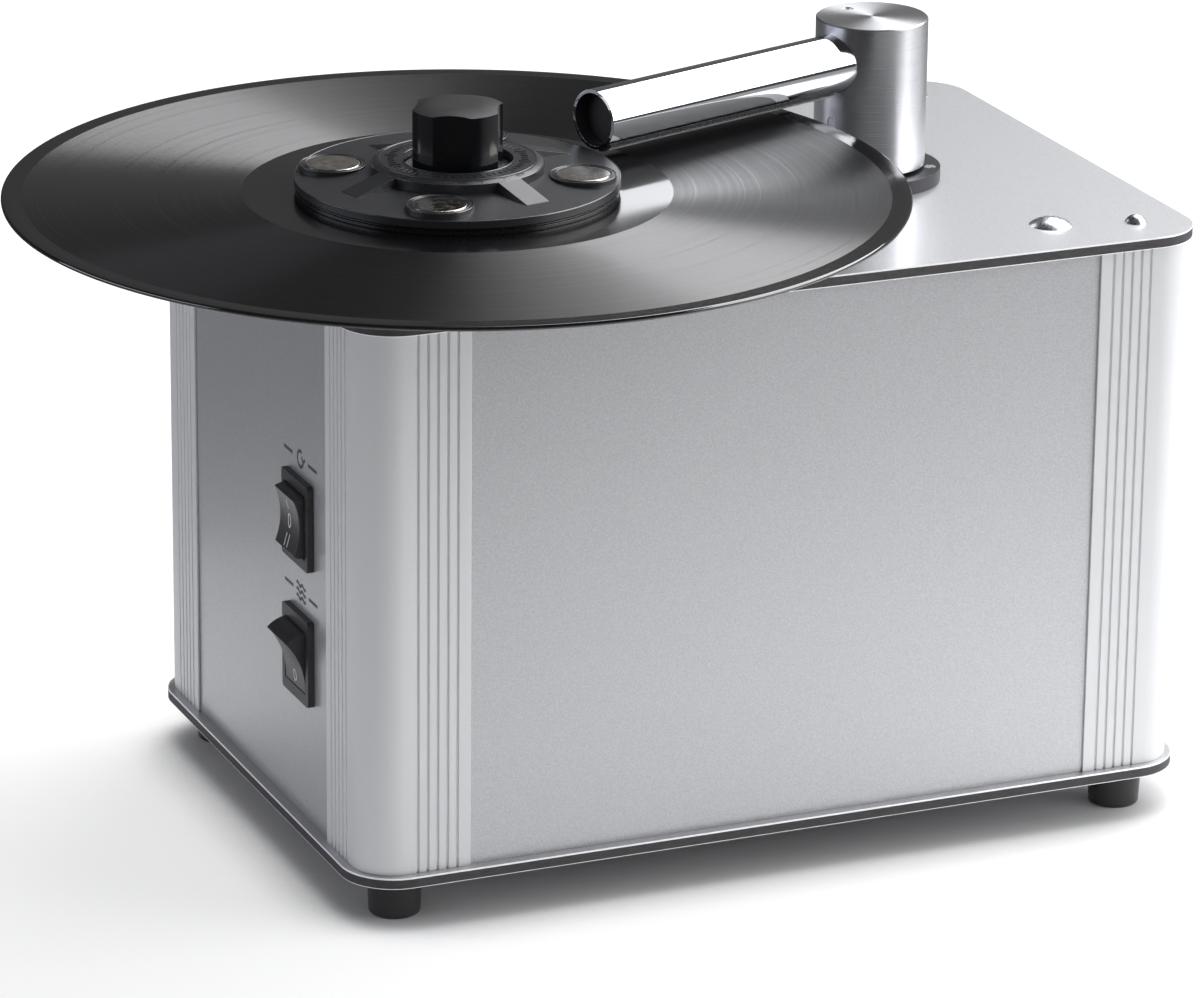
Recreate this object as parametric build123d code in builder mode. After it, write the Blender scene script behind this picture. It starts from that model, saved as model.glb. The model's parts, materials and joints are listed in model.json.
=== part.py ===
# Record cleaning machine: a motor-driven platter with a screw-down clamp, and a hollow
# vacuum arm that swings over the record, on a box of extruded corner posts and panels.
# Millimetres. +Z is up, +X runs along the front, the front face looks along -Y.
# The origin is the centre of the case's footprint, on the surface that the feet stand on.
import os
from math import asin, cos, degrees, hypot, radians, sin, sqrt

from build123d import *

os.makedirs("parts", exist_ok=True)

# ---------------------------------------------------------------- driving dimensions
# Case: two composite plates, four grooved corner extrusions, four panels
case_w = 313.0
case_d = 213.0
plate_t = 4.0
plate_r = 19.0
foot_h = 15.5
plate_overhang = 3.0

leg = 37.75
skin = 2.6
corner_r = 14.0
groove_count = 5
groove_pitch = 3.55
groove_w = 0.9
groove_depth = 0.7
end_land = 4.4
panel_t = 2.0
panel_recess = 0.9
slot_depth = 3.6
slot_back = 2.0
slot_land = 7.0
port_inset = 16.5
port_r = 2.05
boss_r = 4.2
web_t = 2.5

foot_top_r = 9.6
foot_base_r = 8.9
foot_edge_r = 1.0
foot_recess_r = 4.6
foot_recess_h = 8.0

# Fasteners
fit_gap = 0.05
corner_screw_head_r = 3.9
corner_screw_head_h = 2.6
corner_screw_shank = 14.0
small_screw_r = 1.5
small_screw_head_r = 2.75
small_screw_head_h = 1.8
small_screw_shank = 10.0
dome_bolt_from_right = 48.4
dome_bolt_from_front = 27.0
dome_bolt_head_r = 7.6
dome_bolt_head_h = 2.7
dome_bolt_r = 3.0
dome_bolt_shank = 18.0
dome_nut_flats = 10.0
dome_nut_h = 5.0

# Rocker switches in the left panel
switch_from_front = 67.0
motor_switch_z = 127.2
vacuum_switch_z = 78.5
bezel_w = 25.4
bezel_h = 31.0
bezel_t = 2.4
bezel_r = 1.4
switch_body_w = 21.6
switch_body_h = 27.6
switch_body_depth = 24.0
switch_cutout_gap = 0.2
rocker_w = 19.0
rocker_r = 11.1
rocker_gap = 0.3
rocker_side_gap = 0.5
rocker_pivot_out = 1.1
rocker_tip_out = 6.0
rocker_hollow_out = 4.0
rocker_back_angle = 118.0
rocker_pin_r = 1.0
rocker_pin_len = 2.0
vacuum_rocker_tilt = 20.0

# Mains inlet, vents and drain in the rear panel
inlet_from_left = 71.5
inlet_z = 55.0
inlet_flange_w = 50.0
inlet_flange_h = 23.0
inlet_flange_t = 3.0
inlet_flange_r = 3.5
inlet_body_w = 28.0
inlet_body_h = 20.0
inlet_wall = 1.8
inlet_recess = 17.0
inlet_pin_w = 2.0
inlet_pin_h = 4.0
inlet_pin_len = 11.5
inlet_pin_pitch = 7.0
vent_count = 7
vent_pitch = 7.0
vent_w = 3.0
vent_h = 34.0
drain_from_tank_side = 38.0
drain_z = 29.0
drain_pipe_r = 4.8
drain_bore_r = 3.5
drain_collar_r = 8.0
drain_collar_t = 2.4
drain_nipple_r = 5.0
drain_nipple_len = 13.0
stopper_head_r = 4.7
stopper_head_t = 4.0
stopper_plug_len = 9.0

# Platter drive
spindle_from_left = 49.5
spindle_from_front = 38.5
shaft_r = 5.0
spindle_r = 3.55
run_gap = 0.03
bush_wall = 3.0
bush_len = 15.0
bearing_sleeve_r = 11.0
bearing_flange_r = 22.0
bearing_flange_t = 5.0
bearing_nose_h = 13.5
bearing_drop = 30.5
bearing_screw_pcr = 17.0
motor_r = 18.5
motor_can_r = 17.5
gearbox_h = 28.0
motor_can_h = 35.0
motor_boss_r = 6.0
motor_boss_h = 2.5
motor_shaft_r = 3.0
motor_drop = 62.5
bracket_t = 3.0
bracket_gap = 39.0
bracket_d = 24.0
bracket_tab = 11.5
bracket_hole_pitch = 14.0
motor_screw_pcr = 13.5
coupling_r = 9.0
coupling_h = 20.0
platter_r = 50.0
platter_t = 8.0
platter_lift = 21.0
platter_hub_r = 14.0
platter_hub_h = 7.2
mat_r = 49.0
mat_t = 1.56

# Record
record_r = 150.8
record_t = 1.6
record_rim_r = 0.75
record_hole_r = 3.63
label_r = 50.0
label_t = 0.15

# Clamp; heights are above the record's top face
clamp_r = 54.2
clamp_under_h = 2.5
clamp_rim_h = 5.0
clamp_crown_h = 6.6
clamp_ring_r = 28.8
clamp_ring_wall_h = 9.7
clamp_ring_top_h = 10.7
clamp_ring_top_r = 26.2
clamp_well_r = 18.4
clamp_well_h = 6.0
clamp_bore_r = 12.0
gasket_in_r = 44.0
gasket_lip_r = 53.7
gasket_neck_r = 53.0
gasket_lip_h = 1.2
insert_count = 4
insert_pcr = 41.8
insert_azimuth = 60.4
insert_r = 9.2
insert_top_h = 7.3
insert_seat_r = 11.2
insert_seat_h = 7.0
insert_t = 2.0
rib_azimuth = 15.0
rib_w = 9.0
rib_foot_r = 44.0
rib_foot_h = 5.8
bush_flange_r = 17.9
bush_flange_t = 2.2
bush_sleeve_r = 8.0
bush_sleeve_h = 12.0
bush_stem_h = 3.0
knob_r = 15.6
knob_side_h = 28.3
knob_top_h = 30.2
knob_top_r = 7.4
flute_depth = 2.2
flute_span = 48.0
flute_azimuth = 61.0
spindle_top_h = 20.0
spindle_head_gap = 0.3

# Vacuum arm; the post turns and sinks on a fixed guide tube
post_from_right = 82.8
post_from_front = 101.6
post_r = 19.7
post_top = 58.8
post_lift = 6.3
post_edge = 0.4
post_skirt_r = 16.0
post_ledge_low = 28.5
post_ledge_t = 4.0
post_chamber_r = 14.0
post_roof = 3.3
post_screw_r = 1.9
post_screw_azimuth = 201.5
post_screw_lift = 23.9
post_screw_recess = 0.3
lid_screw_azimuth = 107.0
lid_screw_pcr = 12.7
lid_screw_depth = 2.6
guide_r = 12.0
guide_bore_r = 9.5
guide_top = 33.5
guide_drop = 20.5
guide_shoulder_r = 14.0
guide_shoulder_t = 3.0
guide_slide_gap = 0.08
flange_r = 25.3
flange_t = 5.0
flange_screw_pcr = 21.7
flange_screw_azimuth = -29.0
flange_screw_head_r = 2.1
flange_screw_head_h = 1.2
flange_screw_r = 1.25
flange_screw_len = 9.0
collar_r = 15.7
collar_t = 5.0
spring_wire_r = 0.7
spring_mean_r = 13.9
spring_turns = 4.0
tube_azimuth = 199.0
tube_axis_lift = 44.83
tube_clamp_gap = 6.7
tube_start = 12.5
tube_r = 10.3
tube_wall = 1.2
slit_w = 1.6
slit_start = 30.0
slit_end_land = 6.5
plug_recess = 5.0
plug_t = 4.0
pad_t = 1.0
pad_w = 14.0
pad_slot_w = 2.4
pad_start = 24.0
pad_end_gap = 1.5

# Suction tank, hoses and turbine inside the case
tank_side_gap = 12.6
tank_bolt_gap = 9.5
tank_w = 104.0
tank_d = 120.0
tank_h = 119.5
tank_wall = 3.0
tank_corner_r = 8.0
spout_h = 23.0
hose_wall = 3.0
hose_gap = 0.15
link_spout_r = 9.0
link_bore_r = 7.0
link_from_tank_side = 11.0
link_from_tank_rear = 20.0
hose_straight = 2.0
hose_headroom = 17.5
link_bend_r = 26.0
hose_stand = 5.0
fan_tank_gap = 19.0
fan_rear_gap = 10.6
mount_ring_t = 4.5
mount_ring_r = 40.0
mount_ring_bore_r = 30.0
fan_motor_r = 38.0
fan_motor_h = 51.0
fan_case_r = 60.0
fan_case_h = 50.0
fan_case_wall = 3.0
fan_lid_t = 4.0
fan_exit_w = 40.0
fan_exit_h = 30.0
fan_shaft_r = 4.0
fan_shaft_depth = 33.0
fan_r = 50.0
fan_h = 28.0
fan_disc_t = 2.0
fan_eye_r = 20.0
fan_hub_r = 9.0
fan_blades = 8
fan_blade_t = 2.0
fan_floor_gap = 6.0
board_shift_x = 15.0
board_shift_y = -7.0
board_w = 64.0
board_d = 40.0
board_t = 1.6
board_post_r = 3.0
board_post_h = 6.0
hanger_w = 24.0
hanger_t = 3.0
hanger_foot = 20.0

# ---------------------------------------------------------------- derived levels and places
# The walls stand as high as the tank with its lid and the bend of its hose
link_top_lift = spout_h + hose_straight + link_bend_r
wall_h = tank_h + tank_wall + link_top_lift + hose_headroom
floor_top = foot_h + plate_t
deck_low = floor_top + wall_h
deck_top = deck_low + plate_t

outer_x = case_w / 2 - plate_overhang
outer_y = case_d / 2 - plate_overhang
port_x = outer_x - port_inset
port_y = outer_y - port_inset
panel_x = outer_x - panel_recess
panel_y = outer_y - panel_recess
slot_gap = 2 * fit_gap
panel_half_x = outer_x - leg + slot_depth - slot_gap
panel_half_y = outer_y - leg + slot_depth - slot_gap
slot_w = panel_t + slot_gap
slot_wall = panel_recess + slot_w + slot_back

corners = (
    ("front_left", -1, -1),
    ("front_right", 1, -1),
    ("rear_left", -1, 1),
    ("rear_right", 1, 1),
)
ports = [(side_x * port_x, side_y * port_y) for name, side_x, side_y in corners]

spindle_x = spindle_from_left - case_w / 2
spindle_y = spindle_from_front - case_d / 2
post_x = case_w / 2 - post_from_right
post_y = post_from_front - case_d / 2
dome_bolt_x = case_w / 2 - dome_bolt_from_right
dome_bolt_y = dome_bolt_from_front - case_d / 2
switch_y = switch_from_front - case_d / 2
inlet_x = inlet_from_left - case_w / 2
tube_len = hypot(post_x - spindle_x, post_y - spindle_y) - clamp_r - tube_clamp_gap

tank_x = panel_x - panel_t - tank_side_gap - tank_w / 2
tank_y = dome_bolt_y + tank_bolt_gap + tank_d / 2
turbine_x = tank_x - tank_w / 2 - fan_tank_gap - fan_case_r
turbine_y = panel_y - panel_t - fan_rear_gap - fan_case_r
link_x = tank_x - tank_w / 2 + link_from_tank_side
link_y = tank_y + tank_d / 2 - link_from_tank_rear
drain_x = tank_x + tank_w / 2 - drain_from_tank_side
board_x = spindle_x + board_shift_x
board_y = spindle_y + board_shift_y

platter_low = deck_top + platter_lift
platter_top = platter_low + platter_t
record_low = platter_top + mat_t
record_top = record_low + record_t

bracket_face = deck_low - motor_drop
bracket_reach = bracket_gap / 2 + bracket_t
bracket_hole_x = bracket_reach + bracket_tab / 2
bracket_screws = [
    (spindle_x + side_x * bracket_hole_x, spindle_y + side_y * bracket_hole_pitch / 2)
    for name, side_x, side_y in corners
]
motor_screws = [
    (
        spindle_x + motor_screw_pcr * cos(radians(45 + 90 * turn)),
        spindle_y + motor_screw_pcr * sin(radians(45 + 90 * turn)),
    )
    for turn in range(4)
]
bearing_screws = [
    (
        spindle_x + bearing_screw_pcr * cos(radians(30 + 120 * turn)),
        spindle_y + bearing_screw_pcr * sin(radians(30 + 120 * turn)),
    )
    for turn in range(3)
]
flange_screws_at = [
    (
        post_x + flange_screw_pcr * cos(radians(flange_screw_azimuth + 120 * turn)),
        post_y + flange_screw_pcr * sin(radians(flange_screw_azimuth + 120 * turn)),
    )
    for turn in range(3)
]

flange_top = deck_top + flange_t
post_low = deck_top + post_lift
post_high = deck_top + post_top
ledge_low = deck_top + post_ledge_low
ledge_high = ledge_low + post_ledge_t
tube_z = deck_top + tube_axis_lift

tank_top = floor_top + tank_h
lid_top = tank_top + tank_wall
fan_motor_low = floor_top + mount_ring_t
fan_case_low = fan_motor_low + fan_motor_h
fan_case_top = fan_case_low + fan_case_h
fan_lid_top = fan_case_top + fan_lid_t
fan_low = fan_case_low + fan_case_wall + fan_floor_gap


# ---------------------------------------------------------------- helpers
def turned(x, y):
    # The plane of a turned piece's half profile: radius across, height up
    return Plane(origin=(x, y, 0), x_dir=(1, 0, 0), z_dir=(0, -1, 0))


def upright(x, y):
    return Axis((x, y, 0), (0, 0, 1))


def arm_plane(reach):
    # Across the vacuum tube at a distance from the post's axis; local y is up
    angle = radians(tube_azimuth)
    place = (post_x + reach * cos(angle), post_y + reach * sin(angle), tube_z)
    return Plane(origin=place, x_dir=(-sin(angle), cos(angle), 0), z_dir=(cos(angle), sin(angle), 0))


def spin_profile(x, y, points):
    # Turn a closed profile of (radius, height) points about an upright axis
    with BuildSketch(turned(x, y)) as half:
        with BuildLine():
            Polyline(*points, close=True)
        make_face()
    revolve(half.sketch, axis=upright(x, y))


def dome_shoulder(head_r, head_h):
    # How far a spherical dome has risen half way in from its rim
    sphere_r = (head_r**2 + head_h**2) / (2 * head_h)
    return sqrt(sphere_r**2 - head_r**2 / 4) - sphere_r + head_h


def domed_screw(x, y, seat, head_r, head_h, shank_r, shank_len):
    # Domed head on a seat, with its shank hanging down
    with BuildSketch(turned(x, y)) as half:
        with BuildLine():
            Polyline(
                (0, seat + head_h),
                (0, seat - shank_len),
                (shank_r, seat - shank_len),
                (shank_r, seat),
                (head_r, seat),
            )
            shoulder = seat + dome_shoulder(head_r, head_h)
            ThreePointArc((head_r, seat), (head_r / 2, shoulder), (0, seat + head_h))
        make_face()
    revolve(half.sketch, axis=upright(x, y))


def bored(places, radius, low, height):
    # Upright round holes through whatever stands between two levels
    with BuildSketch(Plane.XY.offset(low)) as holes:
        with Locations(*places):
            Circle(radius)
    extrude(holes.sketch, amount=height, mode=Mode.SUBTRACT)


def finish(piece, name):
    piece.part.label = name
    export_step(piece.part, f"parts/{name}.step")


# ---------------------------------------------------------------- case plates
with BuildPart() as bottom_plate:
    with BuildSketch(Plane.XY.offset(foot_h)):
        RectangleRounded(case_w, case_d, plate_r)
    extrude(amount=plate_t)
    bored(ports, port_r, foot_h, plate_t)
finish(bottom_plate, "bottom_plate")

with BuildPart() as top_plate:
    with BuildSketch(Plane.XY.offset(deck_low)):
        RectangleRounded(case_w, case_d, plate_r)
    extrude(amount=plate_t)
    bored(ports, port_r, deck_low, plate_t)
    bored([(spindle_x, spindle_y)], bearing_sleeve_r + fit_gap, deck_low, plate_t)
    bored([(post_x, post_y)], guide_r + fit_gap, deck_low, plate_t)
    bored([(dome_bolt_x, dome_bolt_y)], dome_bolt_r + fit_gap, deck_low, plate_t)
    bored(bracket_screws + bearing_screws, small_screw_r + fit_gap, deck_low, plate_t)
    bored(flange_screws_at, flange_screw_r + fit_gap, deck_low, plate_t)
finish(top_plate, "top_plate")


# ---------------------------------------------------------------- corner extrusions
def corner_box(side_x, side_y, x_span, y_span, mode=Mode.ADD):
    # A rectangle in one corner; its spans are measured inwards from the outer faces
    middle_x = outer_x - (x_span[0] + x_span[1]) / 2
    middle_y = outer_y - (y_span[0] + y_span[1]) / 2
    with Locations((side_x * middle_x, side_y * middle_y)):
        Rectangle(x_span[1] - x_span[0], y_span[1] - y_span[0], mode=mode)


def both_legs(side_x, side_y, along, depth, mode=Mode.ADD):
    # The same box on the two legs of a corner
    corner_box(side_x, side_y, along, depth, mode)
    corner_box(side_x, side_y, depth, along, mode)


for name, side_x, side_y in corners:
    with BuildPart() as extrusion:
        with BuildSketch(Plane.XY.offset(floor_top)):
            corner_box(side_x, side_y, (0, leg), (0, leg))
            RectangleRounded(
                2 * (outer_x - skin), 2 * (outer_y - skin), corner_r - skin, mode=Mode.SUBTRACT
            )
            both_legs(side_x, side_y, (leg - slot_land, leg), (0, slot_wall))
            both_legs(
                side_x,
                side_y,
                (leg - slot_depth, leg),
                (panel_recess, panel_recess + slot_w),
                Mode.SUBTRACT,
            )
            both_legs(
                side_x, side_y, (0, port_inset), (port_inset - web_t / 2, port_inset + web_t / 2)
            )
            with Locations((side_x * port_x, side_y * port_y)):
                Circle(boss_r)
            RectangleRounded(2 * outer_x, 2 * outer_y, corner_r, mode=Mode.INTERSECT)
            for turn in range(groove_count):
                start = leg - end_land - groove_w - turn * groove_pitch
                both_legs(side_x, side_y, (start, start + groove_w), (0, groove_depth), Mode.SUBTRACT)
            with Locations((side_x * port_x, side_y * port_y)):
                Circle(port_r, mode=Mode.SUBTRACT)
        extrude(amount=wall_h)
    finish(extrusion, f"{name}_extrusion")

# ---------------------------------------------------------------- panels
with BuildPart() as front_panel:
    with BuildSketch(Plane.XY.offset(floor_top)):
        with Locations((0, panel_t / 2 - panel_y)):
            Rectangle(2 * panel_half_x, panel_t)
    extrude(amount=wall_h)
finish(front_panel, "front_panel")

with BuildPart() as rear_panel:
    with BuildSketch(Plane.XY.offset(floor_top)):
        with Locations((0, panel_y - panel_t / 2)):
            Rectangle(2 * panel_half_x, panel_t)
    extrude(amount=wall_h)
    with BuildSketch(Plane.XZ.offset(-panel_y)):
        with Locations((inlet_x, inlet_z)):
            Rectangle(inlet_body_w + 2 * switch_cutout_gap, inlet_body_h + 2 * switch_cutout_gap)
        with Locations((turbine_x, fan_case_low + fan_case_h / 2)):
            with GridLocations(vent_pitch, 0, vent_count, 1):
                SlotOverall(vent_h, vent_w, rotation=90)
        with Locations((drain_x, drain_z)):
            Circle(drain_pipe_r + fit_gap)
    extrude(amount=panel_t, both=True, mode=Mode.SUBTRACT)
finish(rear_panel, "rear_panel")

with BuildPart() as left_panel:
    with BuildSketch(Plane.XY.offset(floor_top)):
        with Locations((panel_t / 2 - panel_x, 0)):
            Rectangle(panel_t, 2 * panel_half_y)
    extrude(amount=wall_h)
    with BuildSketch(Plane.YZ.offset(-panel_x)):
        with Locations((switch_y, motor_switch_z), (switch_y, vacuum_switch_z)):
            Rectangle(switch_body_w + 2 * switch_cutout_gap, switch_body_h + 2 * switch_cutout_gap)
    extrude(amount=panel_t, both=True, mode=Mode.SUBTRACT)
finish(left_panel, "left_panel")

with BuildPart() as right_panel:
    with BuildSketch(Plane.XY.offset(floor_top)):
        with Locations((panel_x - panel_t / 2, 0)):
            Rectangle(panel_t, 2 * panel_half_y)
    extrude(amount=wall_h)
finish(right_panel, "right_panel")

# ---------------------------------------------------------------- feet and corner screws
foot_edge_in = foot_edge_r * (1 - cos(radians(45)))
with BuildPart() as rubber_feet:
    for x, y in ports:
        with BuildSketch(turned(x, y)):
            with BuildLine():
                Polyline(
                    (port_r, foot_h),
                    (port_r, foot_recess_h),
                    (foot_recess_r, foot_recess_h),
                    (foot_recess_r, 0),
                    (foot_base_r - foot_edge_r, 0),
                )
                ThreePointArc(
                    (foot_base_r - foot_edge_r, 0),
                    (foot_base_r - foot_edge_in, foot_edge_in),
                    (foot_base_r, foot_edge_r),
                )
                Polyline((foot_base_r, foot_edge_r), (foot_top_r, foot_h), (port_r, foot_h))
            make_face()
        revolve(axis=upright(x, y))
finish(rubber_feet, "rubber_feet")

with BuildPart() as corner_screws:
    for x, y in ports:
        domed_screw(
            x,
            y,
            deck_top,
            corner_screw_head_r,
            corner_screw_head_h,
            port_r - fit_gap,
            corner_screw_shank,
        )
        foot_shank_top = foot_recess_h + corner_screw_shank
        with BuildSketch(turned(x, y)):
            with BuildLine():
                Line((0, foot_recess_h - corner_screw_head_h), (0, foot_shank_top))
                Polyline(
                    (0, foot_shank_top),
                    (port_r - fit_gap, foot_shank_top),
                    (port_r - fit_gap, foot_recess_h),
                    (corner_screw_head_r, foot_recess_h),
                )
                shoulder = foot_recess_h - dome_shoulder(corner_screw_head_r, corner_screw_head_h)
                ThreePointArc(
                    (corner_screw_head_r, foot_recess_h),
                    (corner_screw_head_r / 2, shoulder),
                    (0, foot_recess_h - corner_screw_head_h),
                )
            make_face()
        revolve(axis=upright(x, y))
finish(corner_screws, "corner_screws")

with BuildPart() as dome_bolt:
    domed_screw(
        dome_bolt_x,
        dome_bolt_y,
        deck_top,
        dome_bolt_head_r,
        dome_bolt_head_h,
        dome_bolt_r,
        dome_bolt_shank,
    )
finish(dome_bolt, "dome_bolt")

# ---------------------------------------------------------------- rocker switches
pivot_x = -panel_x - rocker_pivot_out


def rocker_point(pivot_z, radius, angle):
    # A point at an angle from straight out of the panel, positive upwards
    return (pivot_x - radius * cos(radians(angle)), pivot_z + radius * sin(radians(angle)))


def add_switch_housing(middle_z):
    with BuildSketch(Plane.YZ.offset(-panel_x)) as bezel:
        with Locations((switch_y, middle_z)):
            RectangleRounded(bezel_w, bezel_h, bezel_r)
    extrude(bezel.sketch, amount=-bezel_t)
    with BuildSketch(Plane.YZ.offset(-panel_x)) as body:
        with Locations((switch_y, middle_z)):
            Rectangle(switch_body_w, switch_body_h)
    extrude(body.sketch, amount=switch_body_depth)
    for radius, half_length in (
        (rocker_r + rocker_gap, rocker_w / 2 + rocker_side_gap),
        (rocker_pin_r + fit_gap, rocker_w / 2 + rocker_pin_len + rocker_gap),
    ):
        with BuildSketch(Plane.XZ.offset(-switch_y)) as hollow:
            with Locations((pivot_x, middle_z)):
                Circle(radius)
        extrude(hollow.sketch, amount=half_length, both=True, mode=Mode.SUBTRACT)


def add_rocker(middle_z, tilt):
    tip = degrees(asin(sqrt(rocker_r**2 - (rocker_tip_out - rocker_pivot_out) ** 2) / rocker_r))
    hollow = rocker_point(middle_z, rocker_hollow_out - rocker_pivot_out, -tilt)
    top_tip = rocker_point(middle_z, rocker_r, tip - tilt)
    low_tip = rocker_point(middle_z, rocker_r, -tip - tilt)
    top_back = rocker_point(middle_z, rocker_r, rocker_back_angle - tilt)
    low_back = rocker_point(middle_z, rocker_r, -rocker_back_angle - tilt)
    with BuildSketch(Plane.XZ.offset(-switch_y)) as side:
        with BuildLine():
            ThreePointArc(top_tip, rocker_point(middle_z, rocker_r, 90 - tilt), top_back)
            Line(top_back, low_back)
            ThreePointArc(low_back, rocker_point(middle_z, rocker_r, -90 - tilt), low_tip)
            ThreePointArc(low_tip, hollow, top_tip)
        make_face()
    extrude(side.sketch, amount=rocker_w / 2, both=True)
    with BuildSketch(Plane.XZ.offset(-switch_y)) as pin:
        with Locations((pivot_x, middle_z)):
            Circle(rocker_pin_r)
    extrude(pin.sketch, amount=rocker_w / 2 + rocker_pin_len, both=True)


with BuildPart() as motor_switch_housing:
    add_switch_housing(motor_switch_z)
finish(motor_switch_housing, "motor_switch_housing")

with BuildPart() as vacuum_switch_housing:
    add_switch_housing(vacuum_switch_z)
finish(vacuum_switch_housing, "vacuum_switch_housing")

# The three-way motor rocker rests level, the vacuum rocker rests off with its top out
with BuildPart() as motor_rocker:
    add_rocker(motor_switch_z, 0)
finish(motor_rocker, "motor_rocker")

with BuildPart() as vacuum_rocker:
    add_rocker(vacuum_switch_z, vacuum_rocker_tilt)
finish(vacuum_rocker, "vacuum_rocker")

# ---------------------------------------------------------------- mains inlet
inlet_face = panel_y + inlet_flange_t
with BuildPart() as mains_inlet:
    with BuildSketch(Plane.XZ.offset(-panel_y)):
        with Locations((inlet_x, inlet_z)):
            RectangleRounded(inlet_flange_w, inlet_flange_h, inlet_flange_r)
    extrude(amount=-inlet_flange_t)
    with BuildSketch(Plane.XZ.offset(-inlet_face)):
        with Locations((inlet_x, inlet_z)):
            Rectangle(inlet_body_w, inlet_body_h)
    extrude(amount=inlet_recess + inlet_wall)
    with BuildSketch(Plane.XZ.offset(-inlet_face)):
        with Locations((inlet_x, inlet_z)):
            Rectangle(inlet_body_w - 2 * inlet_wall, inlet_body_h - 2 * inlet_wall)
    extrude(amount=inlet_recess, mode=Mode.SUBTRACT)
    with BuildSketch(Plane.XZ.offset(-inlet_face)):
        with Locations((inlet_x, inlet_z)):
            with GridLocations(inlet_flange_w - 2 * small_screw_head_r - inlet_wall, 0, 2, 1):
                Circle(small_screw_r)
    extrude(amount=inlet_flange_t, mode=Mode.SUBTRACT)
finish(mains_inlet, "mains_inlet")

with BuildPart() as inlet_pins:
    with BuildSketch(Plane.XZ.offset(inlet_recess - inlet_face)):
        with Locations((inlet_x, inlet_z)):
            with Locations(
                (-inlet_pin_pitch, inlet_pin_h / 2),
                (0, -inlet_pin_h / 2),
                (inlet_pin_pitch, inlet_pin_h / 2),
            ):
                Rectangle(inlet_pin_w, inlet_pin_h)
    extrude(amount=-inlet_pin_len)
finish(inlet_pins, "inlet_pins")

# ---------------------------------------------------------------- drain spout and stopper
tank_rear = tank_y + tank_d / 2
nipple_start = panel_y + drain_collar_t
nipple_end = nipple_start + drain_nipple_len
with BuildPart() as drain_spout:
    with BuildSketch(Plane.XZ.offset(tank_wall - tank_rear)):
        with Locations((drain_x, drain_z)):
            Circle(drain_pipe_r)
    extrude(amount=tank_rear - tank_wall - panel_y)
    with BuildSketch(Plane.XZ.offset(-panel_y)):
        with Locations((drain_x, drain_z)):
            Circle(drain_collar_r)
    extrude(amount=-drain_collar_t)
    with BuildSketch(Plane.XZ.offset(-nipple_start)):
        with Locations((drain_x, drain_z)):
            Circle(drain_nipple_r)
    extrude(amount=-drain_nipple_len)
    with BuildSketch(Plane.XZ.offset(-nipple_end)):
        with Locations((drain_x, drain_z)):
            Circle(drain_bore_r)
    extrude(amount=nipple_end - tank_rear + tank_wall, mode=Mode.SUBTRACT)
finish(drain_spout, "drain_spout")

with BuildPart() as drain_stopper:
    with BuildSketch(Plane.XZ.offset(-nipple_end)):
        with Locations((drain_x, drain_z)):
            Circle(stopper_head_r)
    extrude(amount=-stopper_head_t)
    with BuildSketch(Plane.XZ.offset(-nipple_end)):
        with Locations((drain_x, drain_z)):
            Circle(drain_bore_r - fit_gap)
    extrude(amount=stopper_plug_len)
finish(drain_stopper, "drain_stopper")

# ---------------------------------------------------------------- platter drive
sleeve_low = deck_top - bearing_drop - bearing_flange_t
nose_top = deck_top + bearing_nose_h
bush_r = shaft_r + run_gap + bush_wall
with BuildPart() as bearing_housing:
    spin_profile(
        spindle_x,
        spindle_y,
        [
            (bush_r, sleeve_low),
            (bearing_sleeve_r, sleeve_low),
            (bearing_sleeve_r, deck_top),
            (bearing_flange_r, deck_top),
            (bearing_flange_r, deck_top + bearing_flange_t),
            (bearing_sleeve_r, deck_top + bearing_flange_t),
            (bearing_sleeve_r, nose_top),
            (bush_r, nose_top),
        ],
    )
    bored(bearing_screws, small_screw_r + fit_gap, deck_top, bearing_flange_t)
finish(bearing_housing, "bearing_housing")

with BuildPart() as bearing_bushes:
    for low in (sleeve_low, nose_top - bush_len):
        with BuildSketch(Plane.XY.offset(low)):
            with Locations((spindle_x, spindle_y)):
                Circle(bush_r)
                Circle(shaft_r + run_gap, mode=Mode.SUBTRACT)
        extrude(amount=bush_len)
finish(bearing_bushes, "bearing_bushes")

coupling_low = bracket_face + bracket_t + motor_boss_h / 2
coupling_middle = coupling_low + coupling_h / 2
spindle_top = record_top + spindle_top_h
with BuildPart() as platter_shaft:
    spin_profile(
        spindle_x,
        spindle_y,
        [
            (0, coupling_middle + run_gap),
            (shaft_r, coupling_middle + run_gap),
            (shaft_r, platter_top),
            (spindle_r, platter_top),
            (spindle_r, spindle_top - spindle_r / 2),
            (spindle_r / 2, spindle_top),
            (0, spindle_top),
        ],
    )
finish(platter_shaft, "platter_shaft")

with BuildPart() as shaft_coupling:
    spin_profile(
        spindle_x,
        spindle_y,
        [
            (motor_shaft_r + run_gap, coupling_low),
            (coupling_r, coupling_low),
            (coupling_r, coupling_low + coupling_h),
            (shaft_r + run_gap, coupling_low + coupling_h),
            (shaft_r + run_gap, coupling_middle),
            (motor_shaft_r + run_gap, coupling_middle),
        ],
    )
finish(shaft_coupling, "shaft_coupling")

motor_shaft_low = bracket_face - gearbox_h / 2
with BuildPart() as motor_shaft:
    with BuildSketch(Plane.XY.offset(motor_shaft_low)):
        with Locations((spindle_x, spindle_y)):
            Circle(motor_shaft_r)
    extrude(amount=coupling_middle - motor_shaft_low)
finish(motor_shaft, "motor_shaft")

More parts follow.
